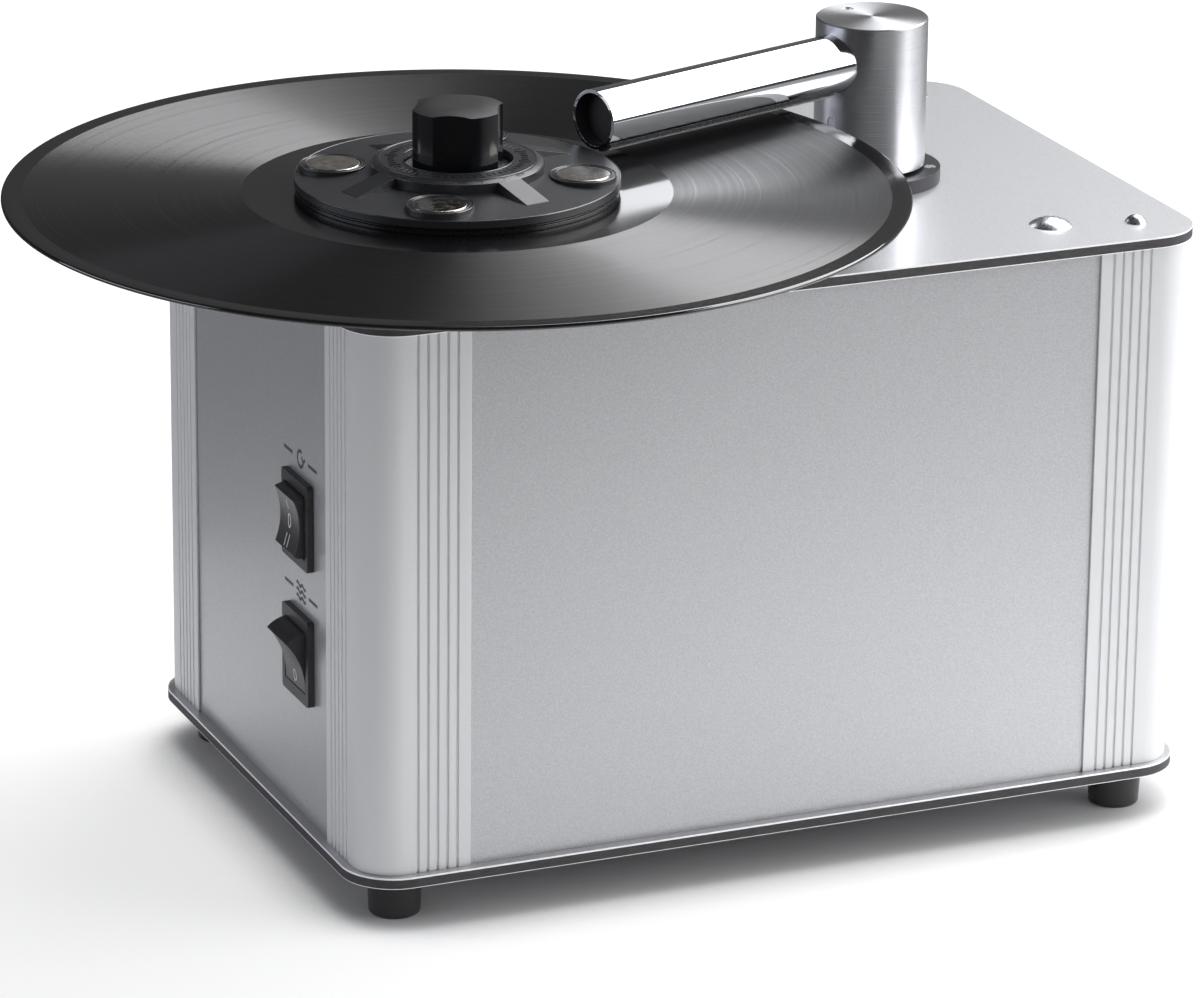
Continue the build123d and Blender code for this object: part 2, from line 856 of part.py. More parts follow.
with BuildPart() as gear_motor:
    spin_profile(
        spindle_x,
        spindle_y,
        [
            (0, bracket_face - gearbox_h - motor_can_h),
            (motor_can_r, bracket_face - gearbox_h - motor_can_h),
            (motor_can_r, bracket_face - gearbox_h),
            (motor_r, bracket_face - gearbox_h),
            (motor_r, bracket_face),
            (motor_boss_r, bracket_face),
            (motor_boss_r, bracket_face + motor_boss_h),
            (motor_shaft_r + run_gap, bracket_face + motor_boss_h),
            (motor_shaft_r + run_gap, motor_shaft_low - run_gap),
            (0, motor_shaft_low - run_gap),
        ],
    )
    motor_screw_low = bracket_face + bracket_t - small_screw_shank - run_gap
    bored(motor_screws, small_screw_r + fit_gap, motor_screw_low, small_screw_shank)
finish(gear_motor, "gear_motor")

with BuildPart() as motor_bracket:
    with BuildSketch(Plane.XY.offset(bracket_face)):
        with Locations((spindle_x, spindle_y)):
            Rectangle(2 * bracket_reach, 2 * motor_r)
            Circle(motor_boss_r + fit_gap, mode=Mode.SUBTRACT)
    extrude(amount=bracket_t)
    with BuildSketch(Plane.XY.offset(bracket_face + bracket_t)):
        with Locations((spindle_x, spindle_y)):
            Rectangle(2 * bracket_reach, bracket_d)
            Rectangle(bracket_gap, bracket_d, mode=Mode.SUBTRACT)
    extrude(amount=motor_drop - bracket_t)
    with BuildSketch(Plane.XY.offset(deck_low - bracket_t)):
        with Locations((spindle_x, spindle_y)):
            Rectangle(2 * (bracket_reach + bracket_tab), bracket_d)
            Rectangle(bracket_gap, bracket_d, mode=Mode.SUBTRACT)
    extrude(amount=bracket_t)
    bored(motor_screws, small_screw_r + fit_gap, bracket_face, bracket_t)
    bored(bracket_screws, small_screw_r + fit_gap, deck_low - bracket_t, bracket_t)
finish(motor_bracket, "motor_bracket")

with BuildPart() as drive_screws:
    seats = [(x, y, deck_top) for x, y in bracket_screws]
    seats += [(x, y, bracket_face + bracket_t) for x, y in motor_screws]
    seats += [(x, y, deck_top + bearing_flange_t) for x, y in bearing_screws]
    for x, y, seat in seats:
        domed_screw(
            x, y, seat, small_screw_head_r, small_screw_head_h, small_screw_r, small_screw_shank
        )
finish(drive_screws, "drive_screws")

with BuildPart() as platter:
    spin_profile(
        spindle_x,
        spindle_y,
        [
            (shaft_r + run_gap, platter_low - platter_hub_h),
            (platter_hub_r, platter_low - platter_hub_h),
            (platter_hub_r, platter_low),
            (platter_r, platter_low),
            (platter_r, platter_top),
            (shaft_r + run_gap, platter_top),
        ],
    )
finish(platter, "platter")

with BuildPart() as platter_mat:
    with BuildSketch(Plane.XY.offset(platter_top)):
        with Locations((spindle_x, spindle_y)):
            Circle(mat_r)
            Circle(spindle_r + fit_gap, mode=Mode.SUBTRACT)
    extrude(amount=mat_t)
finish(platter_mat, "platter_mat")

# ---------------------------------------------------------------- record
with BuildPart() as record:
    with BuildSketch(turned(spindle_x, spindle_y)):
        with BuildLine():
            Polyline(
                (record_r - record_rim_r, record_low),
                (label_r, record_low),
                (label_r, record_low + label_t),
                (record_hole_r, record_low + label_t),
                (record_hole_r, record_top - label_t),
                (label_r, record_top - label_t),
                (label_r, record_top),
                (record_r - record_rim_r, record_top),
            )
            ThreePointArc(
                (record_r - record_rim_r, record_top),
                (record_r, (record_low + record_top) / 2),
                (record_r - record_rim_r, record_low),
            )
        make_face()
    revolve(axis=upright(spindle_x, spindle_y))
finish(record, "record")

with BuildPart() as record_labels:
    for low in (record_low, record_top - label_t):
        with BuildSketch(Plane.XY.offset(low)):
            with Locations((spindle_x, spindle_y)):
                Circle(label_r)
                Circle(record_hole_r, mode=Mode.SUBTRACT)
        extrude(amount=label_t)
finish(record_labels, "record_labels")

# ---------------------------------------------------------------- clamp
insert_places = [
    (
        spindle_x + insert_pcr * cos(radians(insert_azimuth + 360 / insert_count * turn)),
        spindle_y + insert_pcr * sin(radians(insert_azimuth + 360 / insert_count * turn)),
    )
    for turn in range(insert_count)
]
insert_floor = record_top + insert_top_h - insert_t
well_floor = record_top + clamp_well_h

with BuildPart() as clamp_gasket:
    spin_profile(
        spindle_x,
        spindle_y,
        [
            (gasket_in_r, record_top),
            (gasket_lip_r, record_top),
            (gasket_lip_r, record_top + gasket_lip_h),
            (gasket_neck_r, record_top + gasket_lip_h),
            (gasket_neck_r, record_top + clamp_under_h),
            (gasket_in_r, record_top + clamp_under_h),
        ],
    )
finish(clamp_gasket, "clamp_gasket")

with BuildPart() as clamp_disc:
    spin_profile(
        spindle_x,
        spindle_y,
        [
            (clamp_bore_r, record_top + clamp_under_h),
            (clamp_r, record_top + clamp_under_h),
            (clamp_r, record_top + clamp_rim_h),
            (clamp_ring_r, record_top + clamp_crown_h),
            (clamp_ring_r, record_top + clamp_ring_wall_h),
            (clamp_ring_top_r, record_top + clamp_ring_top_h),
            (clamp_well_r, record_top + clamp_ring_top_h),
            (clamp_well_r, well_floor),
            (clamp_bore_r, well_floor),
        ],
    )
    with BuildSketch(Plane.XY.offset(record_top + clamp_under_h)):
        with Locations(*insert_places):
            Circle(insert_seat_r)
    extrude(amount=insert_seat_h - clamp_under_h)
    for turn in range(insert_count):
        angle = radians(rib_azimuth + 360 / insert_count * turn)
        rib_plane = Plane(
            origin=(spindle_x, spindle_y, 0),
            x_dir=(cos(angle), sin(angle), 0),
            z_dir=(sin(angle), -cos(angle), 0),
        )
        with BuildSketch(rib_plane):
            with BuildLine():
                Polyline(
                    (clamp_ring_top_r, record_top + clamp_under_h),
                    (rib_foot_r, record_top + clamp_under_h),
                    (rib_foot_r, record_top + rib_foot_h),
                    (clamp_ring_r, record_top + clamp_ring_wall_h),
                    (clamp_ring_top_r, record_top + clamp_ring_wall_h),
                    close=True,
                )
            make_face()
        extrude(amount=rib_w / 2, both=True)
    bored(insert_places, insert_r + fit_gap, insert_floor, insert_t)
finish(clamp_disc, "clamp_disc")

with BuildPart() as clamp_inserts:
    with BuildSketch(Plane.XY.offset(insert_floor)):
        with Locations(*insert_places):
            Circle(insert_r)
    extrude(amount=insert_t)
finish(clamp_inserts, "clamp_inserts")

bush_top = well_floor + bush_flange_t
with BuildPart() as clamp_bush:
    spin_profile(
        spindle_x,
        spindle_y,
        [
            (spindle_r + fit_gap, well_floor - bush_stem_h),
            (clamp_bore_r - fit_gap, well_floor - bush_stem_h),
            (clamp_bore_r - fit_gap, well_floor),
            (bush_flange_r, well_floor),
            (bush_flange_r, bush_top),
            (bush_sleeve_r, bush_top),
            (bush_sleeve_r, bush_top + bush_sleeve_h),
            (spindle_r + fit_gap, bush_top + bush_sleeve_h),
        ],
    )
finish(clamp_bush, "clamp_bush")

flute_half = radians(flute_span / 2)
flute_chord = knob_r * sin(flute_half)
flute_sagitta = flute_depth - knob_r * (1 - cos(flute_half))
flute_r = (flute_chord**2 + flute_sagitta**2) / (2 * flute_sagitta)
with BuildPart() as clamp_knob:
    spin_profile(
        spindle_x,
        spindle_y,
        [
            (0, bush_top + bush_sleeve_h),
            (bush_sleeve_r + fit_gap, bush_top + bush_sleeve_h),
            (bush_sleeve_r + fit_gap, bush_top),
            (knob_r, bush_top),
            (knob_r, record_top + knob_side_h),
            (knob_top_r, record_top + knob_top_h),
            (0, record_top + knob_top_h),
        ],
    )
    with BuildSketch(Plane.XY.offset(bush_top)):
        for turn in range(4):
            angle = radians(flute_azimuth + 90 * turn)
            reach = knob_r - flute_depth + flute_r
            with Locations((spindle_x + reach * cos(angle), spindle_y + reach * sin(angle))):
                Circle(flute_r)
    extrude(amount=record_top + knob_top_h - bush_top, mode=Mode.SUBTRACT)
    bored(
        [(spindle_x, spindle_y)],
        spindle_r + fit_gap,
        bush_top + bush_sleeve_h,
        spindle_top - bush_top - bush_sleeve_h + spindle_head_gap,
    )
finish(clamp_knob, "clamp_knob")

# ---------------------------------------------------------------- arm foot and guide
with BuildPart() as post_flange:
    with BuildSketch(Plane.XY.offset(deck_top)):
        with Locations((post_x, post_y)):
            Circle(flange_r)
            Circle(guide_r + fit_gap, mode=Mode.SUBTRACT)
    extrude(amount=flange_t)
    for x, y in flange_screws_at:
        with BuildSketch(turned(x, y)):
            with BuildLine():
                Polyline(
                    (0, flange_top),
                    (flange_screw_head_r + fit_gap, flange_top),
                    (flange_screw_r + fit_gap, flange_top - flange_screw_head_h),
                    (flange_screw_r + fit_gap, deck_top),
                    (0, deck_top),
                    close=True,
                )
            make_face()
        revolve(axis=upright(x, y), mode=Mode.SUBTRACT)
finish(post_flange, "post_flange")

with BuildPart() as flange_screws:
    for x, y in flange_screws_at:
        spin_profile(
            x,
            y,
            [
                (0, flange_top),
                (flange_screw_head_r, flange_top),
                (flange_screw_r, flange_top - flange_screw_head_h),
                (flange_screw_r, flange_top - flange_screw_len),
                (0, flange_top - flange_screw_len),
            ],
        )
finish(flange_screws, "flange_screws")

guide_low = deck_low - guide_drop
guide_high = deck_top + guide_top
with BuildPart() as guide_tube:
    spin_profile(
        post_x,
        post_y,
        [
            (guide_bore_r, guide_low),
            (guide_r, guide_low),
            (guide_r, deck_low - guide_shoulder_t),
            (guide_shoulder_r, deck_low - guide_shoulder_t),
            (guide_shoulder_r, deck_low),
            (guide_r, deck_low),
            (guide_r, guide_high),
            (guide_bore_r, guide_high),
        ],
    )
finish(guide_tube, "guide_tube")

with BuildPart() as arm_collar:
    with BuildSketch(Plane.XY.offset(flange_top)):
        with Locations((post_x, post_y)):
            Circle(collar_r)
            Circle(guide_r + fit_gap, mode=Mode.SUBTRACT)
    extrude(amount=collar_t)
finish(arm_collar, "arm_collar")

spring_low = flange_top + collar_t + spring_wire_r
spring_high = ledge_low - spring_wire_r
with BuildPart() as arm_spring:
    with BuildLine():
        Helix(
            pitch=(spring_high - spring_low) / spring_turns,
            height=spring_high - spring_low,
            radius=spring_mean_r,
            center=(post_x, post_y, spring_low),
        )
    with BuildSketch(
        Plane(origin=(post_x + spring_mean_r, post_y, spring_low), x_dir=(1, 0, 0), z_dir=(0, 1, 0))
    ):
        Circle(spring_wire_r)
    sweep(is_frenet=True)
finish(arm_spring, "arm_spring")

# ---------------------------------------------------------------- vacuum arm
with BuildPart() as arm_post:
    spin_profile(
        post_x,
        post_y,
        [
            (post_skirt_r, post_low),
            (post_r, post_low),
            (post_r, post_high - post_edge),
            (post_r - post_edge, post_high),
            (0, post_high),
            (0, post_high - post_roof),
            (post_chamber_r, post_high - post_roof),
            (post_chamber_r, ledge_high),
            (guide_r + guide_slide_gap, ledge_high),
            (guide_r + guide_slide_gap, ledge_low),
            (post_skirt_r, ledge_low),
        ],
    )
    with BuildSketch(arm_plane(tube_start)):
        Circle(tube_r + fit_gap)
    extrude(amount=post_r, mode=Mode.SUBTRACT)
    screw_angle = radians(post_screw_azimuth)
    screw_out = (cos(screw_angle), sin(screw_angle), 0)
    screw_side = (-sin(screw_angle), cos(screw_angle), 0)
    screw_z = deck_top + post_screw_lift
    with BuildSketch(Plane(origin=(post_x, post_y, screw_z), x_dir=screw_side, z_dir=screw_out)):
        Circle(post_screw_r + fit_gap)
    extrude(amount=post_r, mode=Mode.SUBTRACT)
    lid_angle = radians(lid_screw_azimuth)
    lid_screw = (post_x + lid_screw_pcr * cos(lid_angle), post_y + lid_screw_pcr * sin(lid_angle))
    bored([lid_screw], post_screw_r + fit_gap, post_high - lid_screw_depth, lid_screw_depth)
finish(arm_post, "arm_post")

with BuildPart() as post_screws:
    screw_start = (
        post_x + (post_skirt_r + post_screw_recess) * cos(screw_angle),
        post_y + (post_skirt_r + post_screw_recess) * sin(screw_angle),
        screw_z,
    )
    with BuildSketch(Plane(origin=screw_start, x_dir=screw_side, z_dir=screw_out)):
        Circle(post_screw_r)
    extrude(amount=post_r - post_skirt_r - 2 * post_screw_recess)
    with BuildSketch(Plane.XY.offset(post_high - lid_screw_depth)):
        with Locations(lid_screw):
            Circle(post_screw_r)
    extrude(amount=lid_screw_depth - post_screw_recess)
finish(post_screws, "post_screws")

with BuildPart() as suction_tube:
    with BuildSketch(arm_plane(tube_start)):
        Circle(tube_r)
        Circle(tube_r - tube_wall, mode=Mode.SUBTRACT)
    extrude(amount=tube_len - tube_start)
    with BuildSketch(arm_plane(slit_start)):
        with Locations((0, -tube_r)):
            Rectangle(slit_w, 3 * tube_wall)
    extrude(amount=tube_len - slit_end_land - slit_start, mode=Mode.SUBTRACT)
finish(suction_tube, "suction_tube")

with BuildPart() as tube_plug:
    with BuildSketch(arm_plane(tube_len - plug_recess - plug_t)):
        Circle(tube_r - tube_wall)
    extrude(amount=plug_t)
finish(tube_plug, "tube_plug")

with BuildPart() as velvet_pads:
    with BuildSketch(arm_plane(pad_start)):
        Circle(tube_r + pad_t)
        Circle(tube_r, mode=Mode.SUBTRACT)
        with Locations((0, -tube_r)):
            Rectangle(pad_w, tube_r, mode=Mode.INTERSECT)
            Rectangle(pad_slot_w, tube_r, mode=Mode.SUBTRACT)
    extrude(amount=tube_len - pad_end_gap - pad_start)
finish(velvet_pads, "velvet_pads")

# ---------------------------------------------------------------- suction tank
with BuildPart() as fluid_tank:
    with BuildSketch(Plane.XY.offset(floor_top)):
        with Locations((tank_x, tank_y)):
            RectangleRounded(tank_w, tank_d, tank_corner_r)
    extrude(amount=tank_h)
    with BuildSketch(Plane.XY.offset(floor_top + tank_wall)):
        with Locations((tank_x, tank_y)):
            RectangleRounded(
                tank_w - 2 * tank_wall, tank_d - 2 * tank_wall, tank_corner_r - tank_wall
            )
    extrude(amount=tank_h - tank_wall, mode=Mode.SUBTRACT)
    with BuildSketch(Plane.XZ.offset(-tank_rear)):
        with Locations((drain_x, drain_z)):
            Circle(drain_pipe_r + fit_gap)
    extrude(amount=tank_wall, mode=Mode.SUBTRACT)
finish(fluid_tank, "fluid_tank")

with BuildPart() as tank_lid:
    with BuildSketch(Plane.XY.offset(tank_top)):
        with Locations((tank_x, tank_y)):
            RectangleRounded(tank_w, tank_d, tank_corner_r)
    extrude(amount=tank_wall)
    with BuildSketch(Plane.XY.offset(lid_top)):
        with Locations((post_x, post_y)):
            Circle(guide_r)
        with Locations((link_x, link_y)):
            Circle(link_spout_r)
    extrude(amount=spout_h)
    bored([(post_x, post_y)], guide_bore_r, tank_top, tank_wall + spout_h)
    bored([(link_x, link_y)], link_bore_r, tank_top, tank_wall + spout_h)
finish(tank_lid, "tank_lid")

hose_low = lid_top + hose_stand
with BuildPart() as suction_hose:
    with BuildSketch(Plane.XY.offset(hose_low)):
        with Locations((post_x, post_y)):
            Circle(guide_r + hose_gap + hose_wall)
            Circle(guide_r + hose_gap, mode=Mode.SUBTRACT)
    extrude(amount=deck_low - guide_shoulder_t - hose_stand - hose_low)
finish(suction_hose, "suction_hose")

link_top = lid_top + link_top_lift
with BuildPart() as link_hose:
    with BuildLine():
        FilletPolyline(
            (link_x, link_y, hose_low),
            (link_x, link_y, link_top),
            (turbine_x, turbine_y, link_top),
            (turbine_x, turbine_y, fan_lid_top + hose_stand),
            radius=link_bend_r,
        )
    with BuildSketch(Plane.XY.offset(hose_low)):
        with Locations((link_x, link_y)):
            Circle(link_spout_r + hose_gap + hose_wall)
            Circle(link_spout_r + hose_gap, mode=Mode.SUBTRACT)
    sweep()
finish(link_hose, "link_hose")

with BuildPart() as tank_hanger:
    hanger_y = dome_bolt_y - hanger_w / 2
    leg_y = tank_y - tank_d / 2 + tank_wall
    with BuildSketch(Plane.XY.offset(deck_low - hanger_t)):
        with Locations((dome_bolt_x, (hanger_y + leg_y) / 2)):
            Rectangle(hanger_w, leg_y - hanger_y)
        with Locations((dome_bolt_x, dome_bolt_y)):
            Circle(dome_bolt_r + fit_gap, mode=Mode.SUBTRACT)
    extrude(amount=hanger_t)
    with BuildSketch(Plane.XY.offset(lid_top)):
        with Locations((dome_bolt_x, leg_y - hanger_t / 2)):
            Rectangle(hanger_w, hanger_t)
    extrude(amount=deck_low - lid_top)
    with BuildSketch(Plane.XY.offset(lid_top)):
        with Locations((dome_bolt_x, leg_y + hanger_foot / 2 - hanger_t)):
            Rectangle(hanger_w, hanger_foot)
    extrude(amount=hanger_t)
finish(tank_hanger, "tank_hanger")

with BuildPart() as dome_nut:
    with BuildSketch(Plane.XY.offset(deck_low - hanger_t - dome_nut_h)):
        with Locations((dome_bolt_x, dome_bolt_y)):
            RegularPolygon(dome_nut_flats / 2, 6, major_radius=False)
            Circle(dome_bolt_r + fit_gap, mode=Mode.SUBTRACT)
    extrude(amount=dome_nut_h)
finish(dome_nut, "dome_nut")

# ---------------------------------------------------------------- vacuum turbine
with BuildPart() as turbine_mount:
    with BuildSketch(Plane.XY.offset(floor_top)):
        with Locations((turbine_x, turbine_y)):
            Circle(mount_ring_r)
            Circle(mount_ring_bore_r, mode=Mode.SUBTRACT)
    extrude(amount=mount_ring_t)
finish(turbine_mount, "turbine_mount")

with BuildPart() as turbine_motor:
    with BuildSketch(Plane.XY.offset(fan_motor_low)):
        with Locations((turbine_x, turbine_y)):
            Circle(fan_motor_r)
    extrude(amount=fan_motor_h)
    bored(
        [(turbine_x, turbine_y)],
        fan_shaft_r + fit_gap,
        fan_case_low - fan_shaft_depth,
        fan_shaft_depth,
    )
finish(turbine_motor, "turbine_motor")

with BuildPart() as turbine_housing:
    with BuildSketch(Plane.XY.offset(fan_case_low)):
        with Locations((turbine_x, turbine_y)):
            Circle(fan_case_r)
    extrude(amount=fan_case_h)
    bored(
        [(turbine_x, turbine_y)],
        fan_case_r - fan_case_wall,
        fan_case_low + fan_case_wall,
        fan_case_h - fan_case_wall,
    )
    bored([(turbine_x, turbine_y)], fan_hub_r, fan_case_low, fan_case_wall)
    with BuildSketch(Plane.XZ.offset(-turbine_y)):
        with Locations((turbine_x, fan_case_low + fan_case_h / 2)):
            Rectangle(fan_exit_w, fan_exit_h)
    extrude(amount=-fan_case_r, mode=Mode.SUBTRACT)
finish(turbine_housing, "turbine_housing")

with BuildPart() as turbine_lid:
    with BuildSketch(Plane.XY.offset(fan_case_top)):
        with Locations((turbine_x, turbine_y)):
            Circle(fan_case_r)
    extrude(amount=fan_lid_t)
    with BuildSketch(Plane.XY.offset(fan_lid_top)):
        with Locations((turbine_x, turbine_y)):
            Circle(link_spout_r)
    extrude(amount=spout_h)
    bored([(turbine_x, turbine_y)], link_bore_r, fan_case_top, fan_lid_t + spout_h)
finish(turbine_lid, "turbine_lid")

with BuildPart() as impeller:
    with BuildSketch(Plane.XY.offset(fan_case_low - fan_shaft_depth + run_gap)):
        with Locations((turbine_x, turbine_y)):
            Circle(fan_shaft_r)
    extrude(amount=fan_low - fan_case_low + fan_shaft_depth)
    with BuildSketch(Plane.XY.offset(fan_low)):
        with Locations((turbine_x, turbine_y)):
            Circle(fan_r)
    extrude(amount=fan_disc_t)
    with BuildSketch(Plane.XY.offset(fan_low + fan_disc_t)):
        with Locations((turbine_x, turbine_y)):
            Circle(fan_hub_r)
            with PolarLocations((fan_hub_r + fan_r) / 2, fan_blades):
                Rectangle(fan_r - fan_hub_r - fan_blade_t, fan_blade_t)
    extrude(amount=fan_h - 2 * fan_disc_t)
    with BuildSketch(Plane.XY.offset(fan_low + fan_h - fan_disc_t)):
        with Locations((turbine_x, turbine_y)):
            Circle(fan_r)
            Circle(fan_eye_r, mode=Mode.SUBTRACT)
    extrude(amount=fan_disc_t)
finish(impeller, "impeller")

# ---------------------------------------------------------------- power board
board_low = floor_top + board_post_h
with BuildPart() as power_board:
    with BuildSketch(Plane.XY.offset(floor_top)):
        with Locations((board_x, board_y)):
            with GridLocations(board_w - 4 * board_post_r, board_d - 4 * board_post_r, 2, 2):
                Circle(board_post_r)
    extrude(amount=board_post_h)
    with BuildSketch(Plane.XY.offset(board_low)):
        with Locations((board_x, board_y)):
            Rectangle(board_w, board_d)
    extrude(amount=board_t)
    with BuildSketch(Plane.XY.offset(board_low + board_t)):
        with Locations((board_x - board_w / 5, board_y)):
            Rectangle(board_w / 3, board_d / 2)
        with Locations((board_x + board_w / 4, board_y + board_d / 5)):
            Circle(board_d / 8)
        with Locations((board_x + board_w / 4, board_y - board_d / 5)):
            Circle(board_d / 8)
    extrude(amount=board_d / 2)
finish(power_board, "power_board")
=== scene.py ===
import json
import math

import bmesh
import bpy
from mathutils import Matrix, Quaternion, Vector


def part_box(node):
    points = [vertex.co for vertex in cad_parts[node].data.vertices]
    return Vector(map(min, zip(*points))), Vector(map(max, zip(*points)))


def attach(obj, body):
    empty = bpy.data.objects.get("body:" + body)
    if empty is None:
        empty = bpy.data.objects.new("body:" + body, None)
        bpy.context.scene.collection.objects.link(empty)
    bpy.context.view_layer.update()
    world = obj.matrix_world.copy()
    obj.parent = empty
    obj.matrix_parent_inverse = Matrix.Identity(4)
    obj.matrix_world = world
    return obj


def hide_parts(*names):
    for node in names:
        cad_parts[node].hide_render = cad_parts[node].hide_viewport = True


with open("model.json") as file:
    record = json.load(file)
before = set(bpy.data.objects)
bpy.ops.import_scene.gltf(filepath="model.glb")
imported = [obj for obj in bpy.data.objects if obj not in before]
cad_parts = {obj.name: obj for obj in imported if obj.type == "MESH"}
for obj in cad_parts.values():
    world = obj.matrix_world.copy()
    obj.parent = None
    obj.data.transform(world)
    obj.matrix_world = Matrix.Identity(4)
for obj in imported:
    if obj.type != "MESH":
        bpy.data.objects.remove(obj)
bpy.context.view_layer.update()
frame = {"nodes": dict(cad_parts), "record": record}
nodes = frame["nodes"]
mm = 0.001

# The camera stands to the left of the front and looks down at the machine through a long lens
cameraValues = {
    "lens": 187.52,
    "sensor": 36.0,
    "place": (-0.840457, -1.917616, 0.832868),
    "right": (0.92163935, -0.38792665, 0.00968637),
    "up": (0.1194473, 0.30735687, 0.94406785),
    "back": (-0.36920625, -0.86893306, 0.32960897),
}


def addCamera(values):
    lens = bpy.data.cameras.new("studioCamera")
    lens.lens = values["lens"]
    lens.sensor_width = values["sensor"]
    camera = bpy.data.objects.new("studioCamera", lens)
    bpy.context.scene.collection.objects.link(camera)
    turn = Matrix((values["right"], values["up"], values["back"])).transposed()
    camera.matrix_world = Matrix.Translation(values["place"]) @ turn.to_4x4()
    bpy.context.scene.camera = camera


addCamera(cameraValues)
bpy.context.scene.view_settings.view_transform = "Standard"
print("camera ready")


def linearColour(hexText, alpha=1.0):
    # sRGB hex to the linear colour that shaders take
    parts = [int(hexText[i : i + 2], 16) / 255 for i in (0, 2, 4)]
    return tuple(p / 12.92 if p <= 0.04045 else ((p + 0.055) / 1.055) ** 2.4 for p in parts) + (alpha,)


def addNode(tree, kind, sockets=None, **settings):
    node = tree.nodes.new(kind)
    for name, value in settings.items():
        setattr(node, name, value)
    for key, value in (sockets or {}).items():
        if isinstance(value, bpy.types.NodeSocket):
            tree.links.new(value, node.inputs[key])
        else:
            node.inputs[key].default_value = value
    return node


def newMaterial(name, colour, **sockets):
    # A material with one shader; sockets are the shader's own constants
    material = bpy.data.materials.new(name)
    material.use_nodes = True
    tree = material.node_tree
    tree.nodes.clear()
    values = {"Base Color": linearColour(colour)}
    values.update({key.replace("_", " "): value for key, value in sockets.items()})
    shader = addNode(tree, "ShaderNodeBsdfPrincipled", values)
    addNode(tree, "ShaderNodeOutputMaterial", {"Surface": shader.outputs["BSDF"]})
    return material, tree, shader


def objectPoint(tree, centre=(0, 0, 0), stretch=(1, 1, 1)):
    # Object coordinates about a centre given in mm, drawn out along each axis by stretch
    place = addNode(tree, "ShaderNodeTexCoord").outputs["Object"]
    middle = tuple(c * mm for c in centre)
    moved = addNode(tree, "ShaderNodeVectorMath", {0: place, 1: middle}, operation="SUBTRACT")
    factors = tuple(1 / s for s in stretch)
    return addNode(
        tree, "ShaderNodeVectorMath", {0: moved.outputs[0], 1: factors}, operation="MULTIPLY"
    ).outputs[0]


def radiusOf(tree, point):
    # Distance from the upright axis through the point's own centre
    flat = addNode(tree, "ShaderNodeVectorMath", {0: point, 1: (1, 1, 0)}, operation="MULTIPLY")
    return addNode(
        tree, "ShaderNodeVectorMath", {0: flat.outputs[0]}, operation="LENGTH"
    ).outputs["Value"]


def outwardFrom(tree, centre):
    # World direction away from the upright axis through centre, in mm
    flat = addNode(
        tree, "ShaderNodeVectorMath", {0: objectPoint(tree, centre), 1: (1, 1, 0)},
        operation="MULTIPLY",
    ).outputs[0]
    unit = addNode(tree, "ShaderNodeVectorMath", {0: flat}, operation="NORMALIZE").outputs[0]
    return addNode(
        tree, "ShaderNodeVectorTransform", {0: unit},
        vector_type="NORMAL", convert_from="OBJECT", convert_to="WORLD",
    ).outputs[0]


def addGrain(
    tree, shader, point, size, colours=None, rough=None, depth=0.0, detail=2.0, spread=(0.3, 0.7)
):
    # Noise whose lumps are size mm across drives colour, roughness and a relief depth mm deep
    noise = addNode(
        tree, "ShaderNodeTexNoise", {"Vector": point, "Scale": 1 / (size * mm), "Detail": detail}
    ).outputs["Fac"]
    level = addNode(
        tree, "ShaderNodeMapRange", {0: noise, 1: spread[0], 2: spread[1], 3: 0.0, 4: 1.0}
    ).outputs[0]
    if colours:
        mix = addNode(tree, "ShaderNodeMix", {0: level}, data_type="RGBA")
        mix.inputs[6].default_value = linearColour(colours[0])
        mix.inputs[7].default_value = linearColour(colours[1])
        tree.links.new(mix.outputs[2], shader.inputs["Base Color"])
    if rough:
        roughness = addNode(tree, "ShaderNodeMapRange", {0: level, 3: rough[0], 4: rough[1]})
        tree.links.new(roughness.outputs[0], shader.inputs["Roughness"])
    if depth:
        sockets = {"Height": level, "Distance": depth * mm, "Strength": 1.0}
        before = shader.inputs["Normal"].links
        if before:
            sockets["Normal"] = before[0].from_socket
        bump = addNode(tree, "ShaderNodeBump", sockets)
        tree.links.new(bump.outputs[0], shader.inputs["Normal"])
    return level


spindle = (-107.0, -68.0, 0.0)
post = (73.7, -4.9, 0.0)
materials = {}

# Extruded aluminium, satin anodised: soft grey reflections drawn out along the faint die lines
material, tree, shader = newMaterial(
    "satinAnodisedAluminium", "DADBDC", Metallic=0.5, Roughness=0.5, Anisotropic=0.6
)
addGrain(tree, shader, objectPoint(tree, stretch=(1, 1, 120)), 0.35, None, (0.47, 0.53), 0.001)
across = addNode(
    tree, "ShaderNodeVectorMath",
    {0: addNode(tree, "ShaderNodeNewGeometry").outputs["True Normal"], 1: (0, 0, 1)},
    operation="CROSS_PRODUCT",
)
tree.links.new(across.outputs[0], shader.inputs["Tangent"])
materials["anodised"] = material

# Aluminium sheet in silver metallic lacquer: flakes under a clear coat, so it sparkles finely and mirrors
# softly. Real flakes are under 0.05 mm, and are drawn coarser so that they show
lacquer = {"flake": 0.42, "colours": ("B4B5B7", "CCCDCF"), "rough": (0.38, 0.46), "depth": 0.004}
for slotName, name in (("panel", "silverLacquerPanel"), ("composite", "silverLacquerSkin")):
    material, tree, shader = newMaterial(
        name, "B8B9BB", Metallic=0.75, Coat_Weight=0.5, Coat_Roughness=0.14
    )
    addGrain(
        tree, shader, objectPoint(tree),
        lacquer["flake"], lacquer["colours"], lacquer["rough"], lacquer["depth"],
    )
    materials[slotName] = material

# Polyethylene core between the skins, sawn: matt near-black with faint saw marks along the edge
material, tree, shader = newMaterial("sawnPolyethyleneCore", "343233", Roughness=0.62, IOR=1.51)
addGrain(tree, shader, objectPoint(tree, stretch=(6, 6, 1)), 0.5, ("2C2A2B", "403E3F"), (0.5, 0.7), 0.02)
materials["core"] = material

